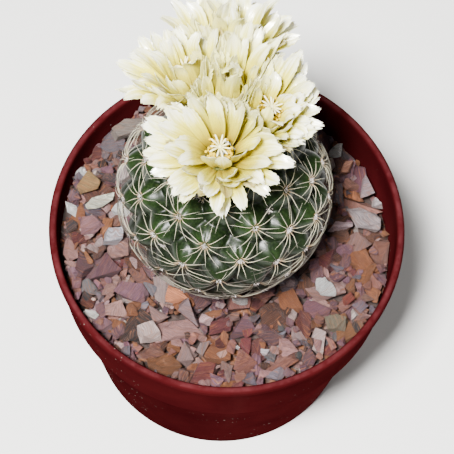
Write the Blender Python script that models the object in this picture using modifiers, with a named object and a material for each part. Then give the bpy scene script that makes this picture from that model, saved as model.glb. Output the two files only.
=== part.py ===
"""Potted coryphantha cactus in flower.

A near-globular stem of spiny tubercles carries five cream blooms at its crown. It stands
in a turned plastic pot of soil, under a top-dressing of angular stone chips.
Units are metres, +Z is up, and the origin is the centre of the pot's base.
"""
import itertools
import math
import random

import bmesh
import bpy
from mathutils import Matrix, Vector

OBJECT_NAME = "potted_coryphantha"
MERGE = 0.00001
FLAT = 0.999
GAP = 0.0003

# Pot: a moulded nursery pot with a round lip and a deep skirt
POT_HEIGHT = 0.079
RIM_RADIUS = 0.050
LIP_DROP = 0.0034
SKIRT_TOP_RADIUS = 0.0492
SKIRT_FOOT_RADIUS = 0.0479
SKIRT_FOOT_HEIGHT = 0.0545
BODY_TOP_RADIUS = 0.0462
BASE_RADIUS = 0.0400
WALL = 0.0014
FLOOR_UNDERSIDE = 0.0020
FLOOR_TOP = 0.0036
FOOT_INNER_RADIUS = 0.0335
POT_STEPS = 36
DRAIN_RADIUS = 0.0035
DRAIN_CIRCLE = 0.0210
DRAIN_COUNT = 4
DRAIN_STEPS = 12
DRAIN_CUT_DEPTH = 0.010

# Soil, and the plain hole in it that the root stands in
SOIL_TOP = 0.0600
SOIL_HOLE_RADIUS = 0.0083
SOIL_HOLE_FLOOR = 0.0397
SOIL_STEPS = 18

# Top-dressing: its surface falls away toward the wall at the back right
DRESSING_DEPTH = 0.0066
DRESSING_FALL = 0.0065
DRESSING_LOW_SIDE = math.radians(30)
BED_BELOW_SURFACE = 0.0020
BED_RADIUS = 0.0463
CHIP_OUTER_RADIUS = 0.0461
CHIP_CEILING = 0.0014
CHIP_RINGS = ((0.0230, 9), (0.0290, 12), (0.0347, 14), (0.0400, 17), (0.0443, 19))
CHIP_LENGTHS = (0.0084, 0.0124)
CHIP_BREADTHS = (0.60, 0.85)
CHIP_FLATNESS = 0.42
CHIP_CORNER_CUT = 0.62
CHIP_LEAN = 0.30
CHIP_LIFT = 0.0008
CHIP_STRAY = 0.0010
CHIP_POINTS = 8
HOLE_RADIUS = 0.0184
HOLE_CLEARANCE = 0.0005

# Stem: tubercles on a phyllotactic spiral, a sphere above its equator and a longer ellipsoid below
STEM_X = -0.0015
STEM_Z = 0.1012
TIP_RADIUS = 0.0283
LOWER_DEPTH = 0.0350
TUBERCLE_RISE = 0.0046
TUBERCLE_REACH = 0.0064
TUBERCLE_SHOULDER = 1.25
SPIRAL_NUMBER = 94.9
SPIRAL_COUNT = 85
GOLDEN_ANGLE = math.radians(137.50776)
SPIRAL_START = math.radians(203.4)
SPIRAL_LEAN_X = math.radians(-4.0)
SPIRAL_LEAN_Y = math.radians(5.2)
BASE_RINGS = ((-0.90, 12), (-0.98, 6))
SMOOTH_BASE = -0.84
STEM_CUTS = 2
ROOT_TOP = 0.0720
ROOT_TOP_RADIUS = 0.0080
ROOT_TIP_RADIUS = 0.0045
ROOT_TIP = 0.0400
ROOT_STEPS = 10

# Spines: three-sided, in a star on each tubercle's tip
SPINES_EACH = 5
SPINE_LENGTH = 0.0068
SPINE_THICKNESS = 0.00055
SPINE_LIFT = math.radians(19)
SPINE_RING = 0.0007
SPINE_SUNK = 0.0009
SPINE_CEILING = 0.0312
LOWEST_SPINE = 0.0752
TUBE_CLEARANCE = 0.0040

# Blooms: direction of each from the stem's centre, as tilt from +Z and azimuth, and relative size
BLOOMS = {
    "flower_front": (11.3, -101.0, 1.04),
    "flower_left": (25.7, 129.5, 0.94),
    "flower_back": (40.0, 94.0, 1.10),
    "flower_middle": (12.0, 92.0, 1.00),
    "flower_right": (14.5, 20.0, 0.80),
}
CROWN_RADIUS = 0.02785
SEAT_INNER = math.radians(11)
SEAT_OUTER = math.radians(15)
TUBE_FOOT = 0.0282
TUBE_STEPS = 9
TUBE_PROFILE = (
    (0.0, 0.0056), (0.0024, 0.0058), (0.0031, 0.0085),
    (0.0044, 0.0085), (0.0036, 0.0042), (0.0026, 0.0), (0.0, 0.0),
)

# Tepals: whorls of (count, length, half width, root tilt, final tilt, root radius, root height, stations)
WHORLS = (
    (8, 0.0176, 0.00315, 50, 80, 0.0038, 0.0070, (0, 5, 13, 18)),
    (8, 0.0166, 0.00295, 34, 62, 0.0037, 0.0077, (0, 5, 13, 18)),
    (4, 0.0142, 0.00250, 18, 42, 0.0036, 0.0082, (0, 9, 18)),
)
TEPAL_THICKNESS = 0.00064
TEPAL_PATH_STEPS = 18
TEPAL_BEND = 1.25
TEPAL_TILT_SPREAD = 10
TEPAL_PINWHEEL = 0.17
TEPAL_TWIST_SPREAD = 0.05
FRONT_STEEPNESS = 22
PETAL_FLOOR = 0.0323

# Room kept to a neighbouring bloom's plane: a least margin, a step for each inner whorl, a stagger
PLANE_MARGIN = 0.00052
WHORL_MARGIN = 0.00085
STAGGER_MARGIN = 0.00040
ROOM_SHARE = 0.45
CROWDED_RISE = 0.8

# Stamens: a ring round the style, and filaments that swell to their anthers
STAMEN_RING = ((0.0011, 0.0070), (0.0019, 0.0070), (0.0020, 0.0061), (0.0011, 0.0061))
STAMEN_RING_STEPS = 8
FILAMENTS = 7
FILAMENT_FOOT = (0.0015, 0.0067)
FILAMENT_HEADS = ((0.0031, 0.0138), (0.0022, 0.0150))
FILAMENT_RADIUS = 0.00032
ANTHER_RADIUS = 0.00056
ANTHER_SHARE = 0.86

# Stigma: a style that ends in a star of lobes
STYLE_PROFILE = ((0.0, 0.0168), (0.0007, 0.0164), (0.0006, 0.0061), (0.0, 0.0061))
STYLE_STEPS = 7
LOBES = 5
LOBE_FOOT = (0.00035, 0.0156)
LOBE_POINT = (0.0028, 0.0172)
LOBE_THICKNESS = 0.00080

SEED = 7


def clear_scene():
    for old in list(bpy.data.objects):
        bpy.data.objects.remove(old, do_unlink=True)


def new_collection(name):
    made = bpy.data.collections.new(name)
    bpy.context.scene.collection.children.link(made)
    return made


def material(name, colour, roughness):
    """A Principled material with the colour and roughness given."""
    made = bpy.data.materials.new(name)
    made.use_nodes = True
    shader = made.node_tree.nodes["Principled BSDF"]
    shader.inputs["Base Color"].default_value = (*colour, 1.0)
    shader.inputs["Roughness"].default_value = roughness
    shader.inputs["Metallic"].default_value = 0.0
    made.diffuse_color = (*colour, 1.0)
    return made


def mesh_object(name, bm, home):
    """Put a bmesh in a new object, with its faces pointing out."""
    bmesh.ops.recalc_face_normals(bm, faces=bm.faces)
    if bm.calc_volume(signed=True) < 0:
        bmesh.ops.reverse_faces(bm, faces=bm.faces)
    mesh = bpy.data.meshes.new(name)
    bm.to_mesh(mesh)
    bm.free()
    made = bpy.data.objects.new(name, mesh)
    home.objects.link(made)
    return made


def turned(name, profile, steps, home):
    """Turn an open or closed (radius, height) profile about +Z with a Screw modifier."""
    mesh = bpy.data.meshes.new(name)
    points = [(radius, 0.0, height) for radius, height in profile]
    edges = [(i, i + 1) for i in range(len(points) - 1)]
    if profile[0][0] > MERGE and profile[-1][0] > MERGE:
        edges.append((len(points) - 1, 0))
    mesh.from_pydata(points, edges, [])
    made = bpy.data.objects.new(name, mesh)
    home.objects.link(made)
    screw = made.modifiers.new("turn", "SCREW")
    screw.axis = "Z"
    screw.angle = math.tau
    screw.steps = steps
    screw.render_steps = steps
    screw.use_merge_vertices = True
    screw.merge_threshold = MERGE
    return made


def apply_modifiers(made):
    """Swap an object's mesh for the one its modifiers give."""
    depsgraph = bpy.context.evaluated_depsgraph_get()
    depsgraph.update()
    mesh = bpy.data.meshes.new_from_object(made.evaluated_get(depsgraph))
    made.modifiers.clear()
    made.data = mesh


def across_from(face, edge):
    return next(vert for vert in face.verts if vert not in edge.verts)


def runs(face, start, end):
    return any(loop.vert == start and loop.link_loop_next.vert == end for loop in face.loops)


def turn_doubled_edges(bm):
    """Where two flat faces were split along one same line, split one of them the other way."""
    for edge in [edge for edge in bm.edges if len(edge.link_faces) == 4]:
        start, end = edge.verts
        for first, second in itertools.permutations(edge.link_faces, 2):
            near, far = across_from(first, edge), across_from(second, edge)
            span = far.co - near.co
            side = (start.co - near.co).cross(span).dot((end.co - near.co).cross(span))
            paired = runs(first, start, end) and runs(second, end, start)
            flat = first.normal.dot(second.normal) > FLAT
            if paired and flat and side < 0 and not bm.edges.get((near, far)):
                bm.faces.remove(first)
                bm.faces.remove(second)
                bm.faces.new((start, far, near))
                bm.faces.new((far, end, near))
                break


def keep_largest_body(made):
    """Split a fused body into triangles, and drop the loose scraps and sealed hollows beside it."""
    bm = bmesh.new()
    bm.from_mesh(made.data)
    bmesh.ops.triangulate(bm, faces=bm.faces)
    bm.normal_update()
    turn_doubled_edges(bm)
    unseen = set(bm.faces)
    bodies = []
    while unseen:
        front = [unseen.pop()]
        body = list(front)
        while front:
            for edge in front.pop().edges:
                for face in edge.link_faces:
                    if face in unseen:
                        unseen.discard(face)
                        body.append(face)
                        front.append(face)
        bodies.append(body)
    bodies.sort(key=len, reverse=True)
    scraps = [face for body in bodies[1:] for face in body]
    bmesh.ops.delete(bm, geom=scraps, context="FACES")
    bm.to_mesh(made.data)
    bm.free()


def fuse(made, pieces):
    """Join every object of a collection to one object by a Boolean union, and apply it."""
    union = made.modifiers.new("fuse", "BOOLEAN")
    union.operation = "UNION"
    union.operand_type = "COLLECTION"
    union.collection = pieces
    union.solver = "MANIFOLD"
    apply_modifiers(made)
    for piece in list(pieces.objects):
        bpy.data.objects.remove(piece, do_unlink=True)
    bpy.data.collections.remove(pieces)
    keep_largest_body(made)


def dress(made, surface, smooth=False):
    """Give an object its material, and smooth shading where it is round."""
    made.data.materials.clear()
    made.data.materials.append(surface)
    if smooth:
        made.data.shade_smooth()
        made.data.set_sharp_from_angle(angle=math.radians(35))


def pot_inner_wall(height):
    """Inside radius of the pot at a height in its skirt."""
    share = (height - SKIRT_FOOT_HEIGHT) / (POT_HEIGHT - LIP_DROP - SKIRT_FOOT_HEIGHT)
    return SKIRT_FOOT_RADIUS - WALL + share * (SKIRT_TOP_RADIUS - SKIRT_FOOT_RADIUS)


def make_pot(parts, cutters):
    top = POT_HEIGHT
    under_lip = POT_HEIGHT - LIP_DROP
    profile = [
        (RIM_RADIUS - 0.0008, top),
        (RIM_RADIUS - 0.0002, top - 0.0004),
        (RIM_RADIUS, top - 0.0010),
        (RIM_RADIUS, top - 0.0024),
        (SKIRT_TOP_RADIUS, under_lip),
        (SKIRT_FOOT_RADIUS, SKIRT_FOOT_HEIGHT),
        (BODY_TOP_RADIUS, SKIRT_FOOT_HEIGHT - 0.0008),
        (BASE_RADIUS + 0.0002, 0.0006),
        (BASE_RADIUS - 0.0006, 0.0),
        (FOOT_INNER_RADIUS, 0.0),
        (FOOT_INNER_RADIUS - 0.0006, FLOOR_UNDERSIDE),
        (DRAIN_RADIUS, FLOOR_UNDERSIDE),
        (DRAIN_RADIUS, FLOOR_TOP),
        (BASE_RADIUS - WALL - 0.0004, FLOOR_TOP),
        (BODY_TOP_RADIUS - WALL, SKIRT_FOOT_HEIGHT - 0.0014),
        (SKIRT_FOOT_RADIUS - WALL, SKIRT_FOOT_HEIGHT + 0.0004),
        (SKIRT_TOP_RADIUS - WALL, under_lip),
        (RIM_RADIUS - 0.0018, top - 0.0006),
        (RIM_RADIUS - 0.0014, top - 0.0001),
    ]
    pot = turned("pot", profile, POT_STEPS, parts)
    for k in range(DRAIN_COUNT):
        angle = math.tau * (k + 0.5) / DRAIN_COUNT
        bm = bmesh.new()
        bmesh.ops.create_cone(
            bm, cap_ends=True, segments=DRAIN_STEPS, radius1=DRAIN_RADIUS, radius2=DRAIN_RADIUS,
            depth=DRAIN_CUT_DEPTH,
        )
        middle = (FLOOR_UNDERSIDE + FLOOR_TOP) / 2
        place = Vector((DRAIN_CIRCLE * math.cos(angle), DRAIN_CIRCLE * math.sin(angle), middle))
        bm.transform(Matrix.Translation(place))
        cutter = mesh_object(f"drain_cutter_{k}", bm, cutters)
        cutter.hide_render = True
        cutter.display_type = "WIRE"
        cut = pot.modifiers.new(f"drain_{k}", "BOOLEAN")
        cut.operation = "DIFFERENCE"
        cut.object = cutter
    dress(pot, material("pot_plastic", (0.14, 0.022, 0.022), 0.55), smooth=True)


def make_soil(parts):
    profile = [
        (0.0, SOIL_HOLE_FLOOR),
        (SOIL_HOLE_RADIUS, SOIL_HOLE_FLOOR),
        (SOIL_HOLE_RADIUS, SOIL_TOP),
        (pot_inner_wall(SOIL_TOP) - GAP, SOIL_TOP),
        (SKIRT_FOOT_RADIUS - WALL - GAP, SKIRT_FOOT_HEIGHT + 0.0009),
        (BODY_TOP_RADIUS - WALL - GAP, SKIRT_FOOT_HEIGHT - 0.0009),
        (BASE_RADIUS - WALL - 0.0003 - GAP, FLOOR_TOP + 0.0009),
        (BASE_RADIUS - WALL - 0.0007 - GAP, FLOOR_TOP + GAP),
        (0.0, FLOOR_TOP + GAP),
    ]
    soil = turned("soil", profile, SOIL_STEPS, parts)
    dress(soil, material("soil_dark", (0.045, 0.030, 0.022), 0.9))


def dressing_surface(x, y):
    """Height of the chips' general surface over a point of the plan."""
    toward_low = x * math.cos(DRESSING_LOW_SIDE) + y * math.sin(DRESSING_LOW_SIDE)
    share = max(0.0, toward_low / BED_RADIUS)
    return POT_HEIGHT - DRESSING_DEPTH - DRESSING_FALL * share * share


def bed_plane(x, y):
    return dressing_surface(x, y) - BED_BELOW_SURFACE


def chip(rng, radius, angle, length):
    """One angular chip: the hull of a few points on a flattened block, kept to the ring."""
    centre = Vector((radius * math.cos(angle) + STEM_X, radius * math.sin(angle), 0.0))
    centre.z = bed_plane(centre.x, centre.y) + rng.uniform(0.0, CHIP_LIFT)
    half = 0.5 * length * Vector((1.0, rng.uniform(*CHIP_BREADTHS), CHIP_FLATNESS))
    pose = Matrix.Rotation(rng.uniform(0, math.tau), 3, "Z")
    pose = pose @ Matrix.Rotation(rng.uniform(-CHIP_LEAN, CHIP_LEAN), 3, "X")
    pose = pose @ Matrix.Rotation(rng.uniform(-CHIP_LEAN, CHIP_LEAN), 3, "Y")
    bm = bmesh.new()
    for k in range(CHIP_POINTS):
        corner = Vector((1 if k & 1 else -1, 1 if k & 2 else -1, 1 if k & 4 else -1))
        corner = Vector(c * h * rng.uniform(CHIP_CORNER_CUT, 1.0) for c, h in zip(corner, half))
        bm.verts.new(keep_in_ring(centre + pose @ corner))
    hull = bmesh.ops.convex_hull(bm, input=bm.verts)
    inside = [item for item in hull["geom_interior"] if isinstance(item, bmesh.types.BMVert)]
    bmesh.ops.delete(bm, geom=inside, context="VERTS")
    return bm


def keep_in_ring(point):
    """Pull a point inside the pot's wall, outside the stem's hole and under the chips' ceiling."""
    plan = Vector((point.x, point.y))
    if plan.length > CHIP_OUTER_RADIUS:
        plan *= CHIP_OUTER_RADIUS / plan.length
    from_stem = plan - Vector((STEM_X, 0.0))
    hole = HOLE_RADIUS + HOLE_CLEARANCE
    if from_stem.length < hole:
        plan = Vector((STEM_X, 0.0)) + from_stem * (hole / from_stem.length)
    ceiling = dressing_surface(plan.x, plan.y) + CHIP_CEILING
    floor = SOIL_TOP + 2 * GAP
    return Vector((plan.x, plan.y, max(floor, min(ceiling, point.z))))


def make_gravel(parts):
    """A ring-shaped bed with chips fused over the whole of its surface."""
    profile = [
        (HOLE_RADIUS, POT_HEIGHT),
        (BED_RADIUS, POT_HEIGHT),
        (BED_RADIUS, SOIL_TOP + GAP),
        (HOLE_RADIUS, SOIL_TOP + GAP),
    ]
    gravel = turned("gravel", profile, POT_STEPS, parts)
    apply_modifiers(gravel)
    for vert in gravel.data.vertices:
        if math.hypot(vert.co.x, vert.co.y) < 0.5 * (HOLE_RADIUS + BED_RADIUS):
            vert.co.x += STEM_X
        if vert.co.z > 0.5 * (POT_HEIGHT + SOIL_TOP):
            vert.co.z = bed_plane(vert.co.x, vert.co.y)
    rng = random.Random(SEED)
    pieces = new_collection("chips")
    for ring, (radius, count) in enumerate(CHIP_RINGS):
        for k in range(count):
            angle = math.tau * (k + 0.5 * ring + rng.uniform(-0.25, 0.25)) / count
            length = rng.uniform(*CHIP_LENGTHS)
            stray = rng.uniform(-CHIP_STRAY, CHIP_STRAY)
            mesh_object("chip", chip(rng, radius + stray, angle, length), pieces)
    fuse(gravel, pieces)
    dress(gravel, material("stone_chips", (0.50, 0.30, 0.24), 0.8))


def direction(tilt, azimuth):
    """Unit vector from a tilt off +Z and an azimuth, both in radians."""
    return Vector((math.sin(tilt) * math.cos(azimuth), math.sin(tilt) * math.sin(azimuth), math.cos(tilt)))


def stem_centre():
    return Vector((STEM_X, 0.0, STEM_Z))


def spiral_directions():
    """Directions of the tubercles' tips, from the crown down, on the leaning golden spiral."""
    about_x = Matrix(((1, 0, 0), (0, math.cos(SPIRAL_LEAN_Y), math.sin(SPIRAL_LEAN_Y)),
                      (0, -math.sin(SPIRAL_LEAN_Y), math.cos(SPIRAL_LEAN_Y))))
    about_y = Matrix(((math.cos(SPIRAL_LEAN_X), 0, math.sin(SPIRAL_LEAN_X)), (0, 1, 0),
                      (-math.sin(SPIRAL_LEAN_X), 0, math.cos(SPIRAL_LEAN_X))))
    lean = about_y @ about_x
    tips = []
    for k in range(SPIRAL_COUNT):
        height = 1 - 2 * (k + 0.5) / SPIRAL_NUMBER
        out = math.sqrt(1 - height * height)
        turn = k * GOLDEN_ANGLE + SPIRAL_START
        tips.append(lean @ Vector((out * math.cos(turn), out * math.sin(turn), height)))
    return tips


def envelope(toward):
    """Distance from the stem's centre to the tubercles' tips in a direction."""
    if toward.z >= 0:
        return TIP_RADIUS
    out = math.hypot(toward.x, toward.y)
    return 1 / math.hypot(out / TIP_RADIUS, toward.z / LOWER_DEPTH)


def bloom_directions():
    return {name: direction(math.radians(tilt), math.radians(azimuth))
            for name, (tilt, azimuth, size) in BLOOMS.items()}


def seat_share(toward):
    """1 under a bloom's tube, falling to 0 where the free tubercles begin."""
    nearest = min(toward.angle(axis) for axis in bloom_directions().values())
    share = (SEAT_OUTER - nearest) / (SEAT_OUTER - SEAT_INNER)
    return max(0.0, min(1.0, share))


def stem_radius(toward, tips):
    """The stem's surface: a rounded rise at each tubercle, flattened where blooms stand."""
    nearest = min(toward.angle(tip) for tip in tips)
    full = envelope(toward)
    across = min(1.0, nearest * full / TUBERCLE_REACH)
    drop = TUBERCLE_RISE * across ** TUBERCLE_SHOULDER
    if toward.z < SMOOTH_BASE:
        drop = 0.0
    share = seat_share(toward)
    return (1 - share) * (full - drop) + share * CROWN_RADIUS


def spine_points(tip, azimuth, length):
    """Root and point of one spine of a tubercle's star, lying out from the tip."""
    centre = stem_centre() + tip * envelope(tip)
    side = Vector((0, 0, 1)).cross(tip).normalized()
    away = side * math.cos(azimuth) + tip.cross(side) * math.sin(azimuth)
    heading = away * math.cos(SPINE_LIFT) + tip * math.sin(SPINE_LIFT)
    root = centre + away * SPINE_RING - tip * SPINE_SUNK
    point = centre + away * SPINE_RING + heading * length
    return root, point


def clear_of_tubes(point):
    offset = point - stem_centre()
    for axis in bloom_directions().values():
        along = offset.dot(axis)
        if along > 0 and (offset - axis * along).length < TUBE_CLEARANCE:
            return False
    return True


def spine(root, point, thickness):
    """A three-sided needle from its sunk root to its point."""
    heading = point - root
    bm = bmesh.new()
    bmesh.ops.create_cone(
        bm, cap_ends=True, segments=3, radius1=0.5 * thickness, radius2=0.0, depth=heading.length
    )
    turn = heading.to_track_quat("Z", "Y").to_matrix().to_4x4()
    bm.transform(Matrix.Translation((root + point) / 2) @ turn)
    return bm


def make_stem(parts):
    tips = spiral_directions()
    bm = bmesh.new()
    for tip in tips:
        bm.verts.new(tip)
    for height, count in BASE_RINGS:
        out = math.sqrt(1 - height * height)
        for k in range(count):
            turn = math.tau * k / count
            bm.verts.new((out * math.cos(turn), out * math.sin(turn), height))
    bmesh.ops.convex_hull(bm, input=bm.verts)
    bmesh.ops.subdivide_edges(bm, edges=bm.edges, cuts=STEM_CUTS, use_grid_fill=True)
    for vert in bm.verts:
        toward = vert.co.normalized()
        vert.co = stem_centre() + toward * stem_radius(toward, tips)
    bmesh.ops.triangulate(bm, faces=bm.faces)
    stem = mesh_object("stem", bm, parts)

    pieces = new_collection("stem_pieces")
    root = turned(
        "root",
        [(0.0, ROOT_TOP), (ROOT_TOP_RADIUS, ROOT_TOP), (ROOT_TIP_RADIUS, ROOT_TIP), (0.0, ROOT_TIP)],
        ROOT_STEPS, pieces,
    )
    apply_modifiers(root)
    rng = random.Random(SEED + 1)
    for number, tip in enumerate(tips):
        if seat_share(tip) > 0 or (stem_centre() + tip * envelope(tip)).z < LOWEST_SPINE:
            continue
        first = rng.uniform(0, math.tau)
        for k in range(SPINES_EACH):
            azimuth = first + math.tau * (k + rng.uniform(-0.12, 0.12)) / SPINES_EACH
            length = SPINE_LENGTH * rng.uniform(0.85, 1.12)
            base, point = spine_points(tip, azimuth, length)
            offset = point - stem_centre()
            if offset.z > 0 and offset.length > SPINE_CEILING:
                point = stem_centre() + offset * (SPINE_CEILING / offset.length)
            if clear_of_tubes(point) and point.z > LOWEST_SPINE:
                mesh_object(f"spine_{number}_{k}", spine(base, point, SPINE_THICKNESS), pieces)
    fuse(stem, pieces)
    dress(stem, material("cactus_skin", (0.09, 0.17, 0.06), 0.45), smooth=True)


def bloom_frame(axis):
    """Matrix that stands a bloom's own +Z along its axis, with its origin at the tube's foot."""
    across = Vector((0, 0, 1)).cross(axis)
    across.normalize()
    forward = axis.cross(across)
    turn = Matrix((across, forward, axis)).transposed().to_4x4()
    return Matrix.Translation(stem_centre() + axis * TUBE_FOOT) @ turn


def neighbour_planes(name):
    """Planes midway to each other throat, as unit normals; all pass through the stem's centre."""
    axes = bloom_directions()
    return [(axes[other] - axes[name]).normalized() for other in axes if other != name]


def tepal_width(share):
    """Half width of a tepal along its length, as a share of its widest."""
    return 0.45 + 0.55 * math.sin(math.pi * min(1.0, share / 1.15) ** 1.3)


def crowded(heading, point, normals, margin, axis, step):
    """Turn a growing tepal along a neighbour's plane rather than through it."""
    for normal in normals:
        room = -margin - (point - stem_centre()).dot(normal)
        toward = heading.dot(normal)
        most = max(-1.0, ROOM_SHARE * room / step)
        if toward > most:
            flat = heading - normal * toward
            flat += (axis - normal * axis.dot(normal)) * CROWDED_RISE * (toward - most)
            flat.normalize()
            heading = normal * most + flat * math.sqrt(max(0.0, 1 - most * most))
            heading.normalize()
    return heading


def tepal(rng, name, axis, place, azimuth, whorl, margin):
    """One tepal: a thin lanceolate blade swept along a path that bends outward."""
    count, length, half_width, root_tilt, final_tilt, root_radius, root_height, kept = whorl
    out = place.to_3x3() @ Vector((math.cos(azimuth), math.sin(azimuth), 0.0))
    across = place.to_3x3() @ Vector((-math.sin(azimuth), math.cos(azimuth), 0.0))
    point = place @ Vector((0, 0, root_height)) + out * root_radius
    normals = neighbour_planes(name)
    start = math.radians(root_tilt)
    spread = rng.uniform(-TEPAL_TILT_SPREAD, TEPAL_TILT_SPREAD)
    end = math.radians(final_tilt + spread - FRONT_STEEPNESS * max(0.0, -out.y))
    length *= rng.uniform(0.92, 1.06) * BLOOMS[name][2]
    twist = TEPAL_PINWHEEL + rng.uniform(-TEPAL_TWIST_SPREAD, TEPAL_TWIST_SPREAD)
    step = length / TEPAL_PATH_STEPS
    stations = []
    for k in range(TEPAL_PATH_STEPS + 1):
        share = k / TEPAL_PATH_STEPS
        tilt = start + (end - start) * min(1.0, share * TEPAL_BEND)
        heading = axis * math.cos(tilt) + out * math.sin(tilt)
        heading = crowded(heading, point, normals, margin, axis, step)
        side = across - heading * across.dot(heading)
        side.normalize()
        face = side.cross(heading)
        side = side * math.cos(twist) + face * math.sin(twist)
        if k in kept:
            wide = half_width * tepal_width(share)
            edges = [held_clear(point + side * wide * sign, normals, margin) for sign in (-1, 1)]
            if k == TEPAL_PATH_STEPS:
                tip = held_clear(point, normals, margin)
                edges = [tip, tip]
            stations.append((edges, heading.copy()))
        point = held_clear(point + heading * step, normals, margin)
    return blade(stations)


def held_clear(point, normals, margin):
    """Keep a point above the spines and on its own bloom's side of each neighbour's plane."""
    centre = stem_centre()
    offset = point - centre
    if offset.length < PETAL_FLOOR:
        offset = offset * (PETAL_FLOOR / offset.length)
    for normal in normals:
        past = offset.dot(normal) + margin
        if past > 0:
            offset = offset - normal * past
    return centre + offset


def blade(stations):
    """Close a strip of stations into a blade, split alike on both faces."""
    bm = bmesh.new()
    upper, lower = [], []
    lift = Vector()
    for (left, right), heading in stations:
        across = right - left
        points = [left]
        if across.length > MERGE:
            lift = across.cross(heading).normalized() * (0.5 * TEPAL_THICKNESS)
            points = [left, right]
        upper.append([bm.verts.new(point + lift) for point in points])
        lower.append([bm.verts.new(point - lift) for point in points])
    for rows in (upper, lower):
        for first, second in zip(rows, rows[1:]):
            bm.faces.new((first[0], first[1], second[0]))
            if len(second) == 2:
                bm.faces.new((first[1], second[1], second[0]))
    for low, high, low_next, high_next in zip(lower, upper, lower[1:], upper[1:]):
        for side in (0, -1):
            bm.faces.new((low[side], high[side], high_next[side]))
            bm.faces.new((low[side], high_next[side], low_next[side]))
    bm.faces.new((upper[0][0], lower[0][0], lower[0][1], upper[0][1]))
    bmesh.ops.triangulate(bm, faces=bm.faces)
    return bm


def make_bloom(name, axis, parts, surface, rng):
    """A hollow throat on its tube, with three whorls of tepals fused to its mouth."""
    place = bloom_frame(axis)
    bloom = turned(name, TUBE_PROFILE, TUBE_STEPS, parts)
    apply_modifiers(bloom)
    bloom.data.transform(place)
    pieces = new_collection(name + "_tepals")
    first = rng.uniform(0, math.tau)
    for rank, whorl in enumerate(WHORLS):
        count = whorl[0]
        for k in range(count):
            azimuth = first + math.tau * (k + 0.5 * rank + rng.uniform(-0.2, 0.2)) / count
            margin = PLANE_MARGIN + WHORL_MARGIN * rank + STAGGER_MARGIN * (k % 2 + 0.4 * rng.random())
            mesh_object("tepal", tepal(rng, name, axis, place, azimuth, whorl, margin), pieces)
    fuse(bloom, pieces)
    dress(bloom, surface)


def filament(base, point):
    """A three-sided filament that swells to its anther."""
    heading = point - base
    bm = bmesh.new()
    side = heading.orthogonal().normalized()
    other = heading.normalized().cross(side)
    rings = []
    for share, radius in ((0.0, FILAMENT_RADIUS), (ANTHER_SHARE, ANTHER_RADIUS)):
        centre = base + heading * share
        ring = []
        for k in range(3):
            turn = math.tau * k / 3
            ring.append(bm.verts.new(centre + (side * math.cos(turn) + other * math.sin(turn)) * radius))
        rings.append(ring)
    tip = bm.verts.new(point)
    for low, high in zip(rings, rings[1:]):
        for k in range(3):
            bm.faces.new((low[k], low[(k + 1) % 3], high[(k + 1) % 3], high[k]))
    for k in range(3):
        bm.faces.new((rings[-1][k], rings[-1][(k + 1) % 3], tip))
    bm.faces.new(rings[0])
    bmesh.ops.triangulate(bm, faces=bm.faces)
    return bm


def around(turn, foot, lift=0.0):
    """Point at a turn about a bloom's own axis, from a (radius, height) pair."""
    radius, height = foot
    return Vector((radius * math.cos(turn), radius * math.sin(turn), height + lift))


def make_stamens(name, axis, parts, surface, rng):
    """A ring in the throat with a tuft of filaments and their anthers."""
    place = bloom_frame(axis)
    stamens = turned(name, STAMEN_RING, STAMEN_RING_STEPS, parts)
    apply_modifiers(stamens)
    stamens.data.transform(place)
    pieces = new_collection(name + "_filaments")
    for k in range(FILAMENTS):
        turn = math.tau * (k + rng.uniform(-0.15, 0.15)) / FILAMENTS
        base = place @ around(turn, FILAMENT_FOOT)
        point = place @ around(turn, FILAMENT_HEADS[k % 2])
        mesh_object("filament", filament(base, point), pieces)
    fuse(stamens, pieces)
    dress(stamens, surface)


def make_stigma(name, axis, parts, surface, rng):
    """A style through the stamens' ring, topped by a star of lobes."""
    place = bloom_frame(axis)
    stigma = turned(name, STYLE_PROFILE, STYLE_STEPS, parts)
    apply_modifiers(stigma)
    stigma.data.transform(place)
    pieces = new_collection(name + "_lobes")
    for k in range(LOBES):
        turn = math.tau * (k + rng.uniform(-0.1, 0.1)) / LOBES
        base = place @ around(turn, LOBE_FOOT, rng.uniform(0, 0.0004))
        point = place @ around(turn, LOBE_POINT, rng.uniform(0, 0.0006))
        mesh_object("lobe", spine(base, point, LOBE_THICKNESS), pieces)
    fuse(stigma, pieces)
    dress(stigma, surface)


def main():
    clear_scene()
    parts = new_collection(OBJECT_NAME)
    cutters = new_collection("cutters")
    make_pot(parts, cutters)
    make_soil(parts)
    make_gravel(parts)
    make_stem(parts)
    for number, (name, axis) in enumerate(bloom_directions().items()):
        which = name.split("_")[1]
        rng = random.Random(SEED + 2 + number)
        petals = material(name + "_cream", (0.86, 0.83, 0.58), 0.5)
        pollen = material(which + "_pollen", (0.85, 0.55, 0.08), 0.7)
        lobes = material(which + "_stigma_cream", (0.90, 0.86, 0.66), 0.5)
        make_bloom(name, axis, parts, petals, rng)
        make_stamens("stamens_" + which, axis, parts, pollen, rng)
        make_stigma("stigma_" + which, axis, parts, lobes, rng)


main()
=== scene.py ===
"""Looks of a potted coryphantha cactus in flower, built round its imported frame.

Every piece follows the frame's own form: the stem's tubercles and spines, five crowded blooms,
the bed of stone chips, the soil and the turned pot. Units are metres and +Z is up.
"""
import math
import random

import bmesh
import bpy
import numpy as np
from mathutils import Matrix, Vector


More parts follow.
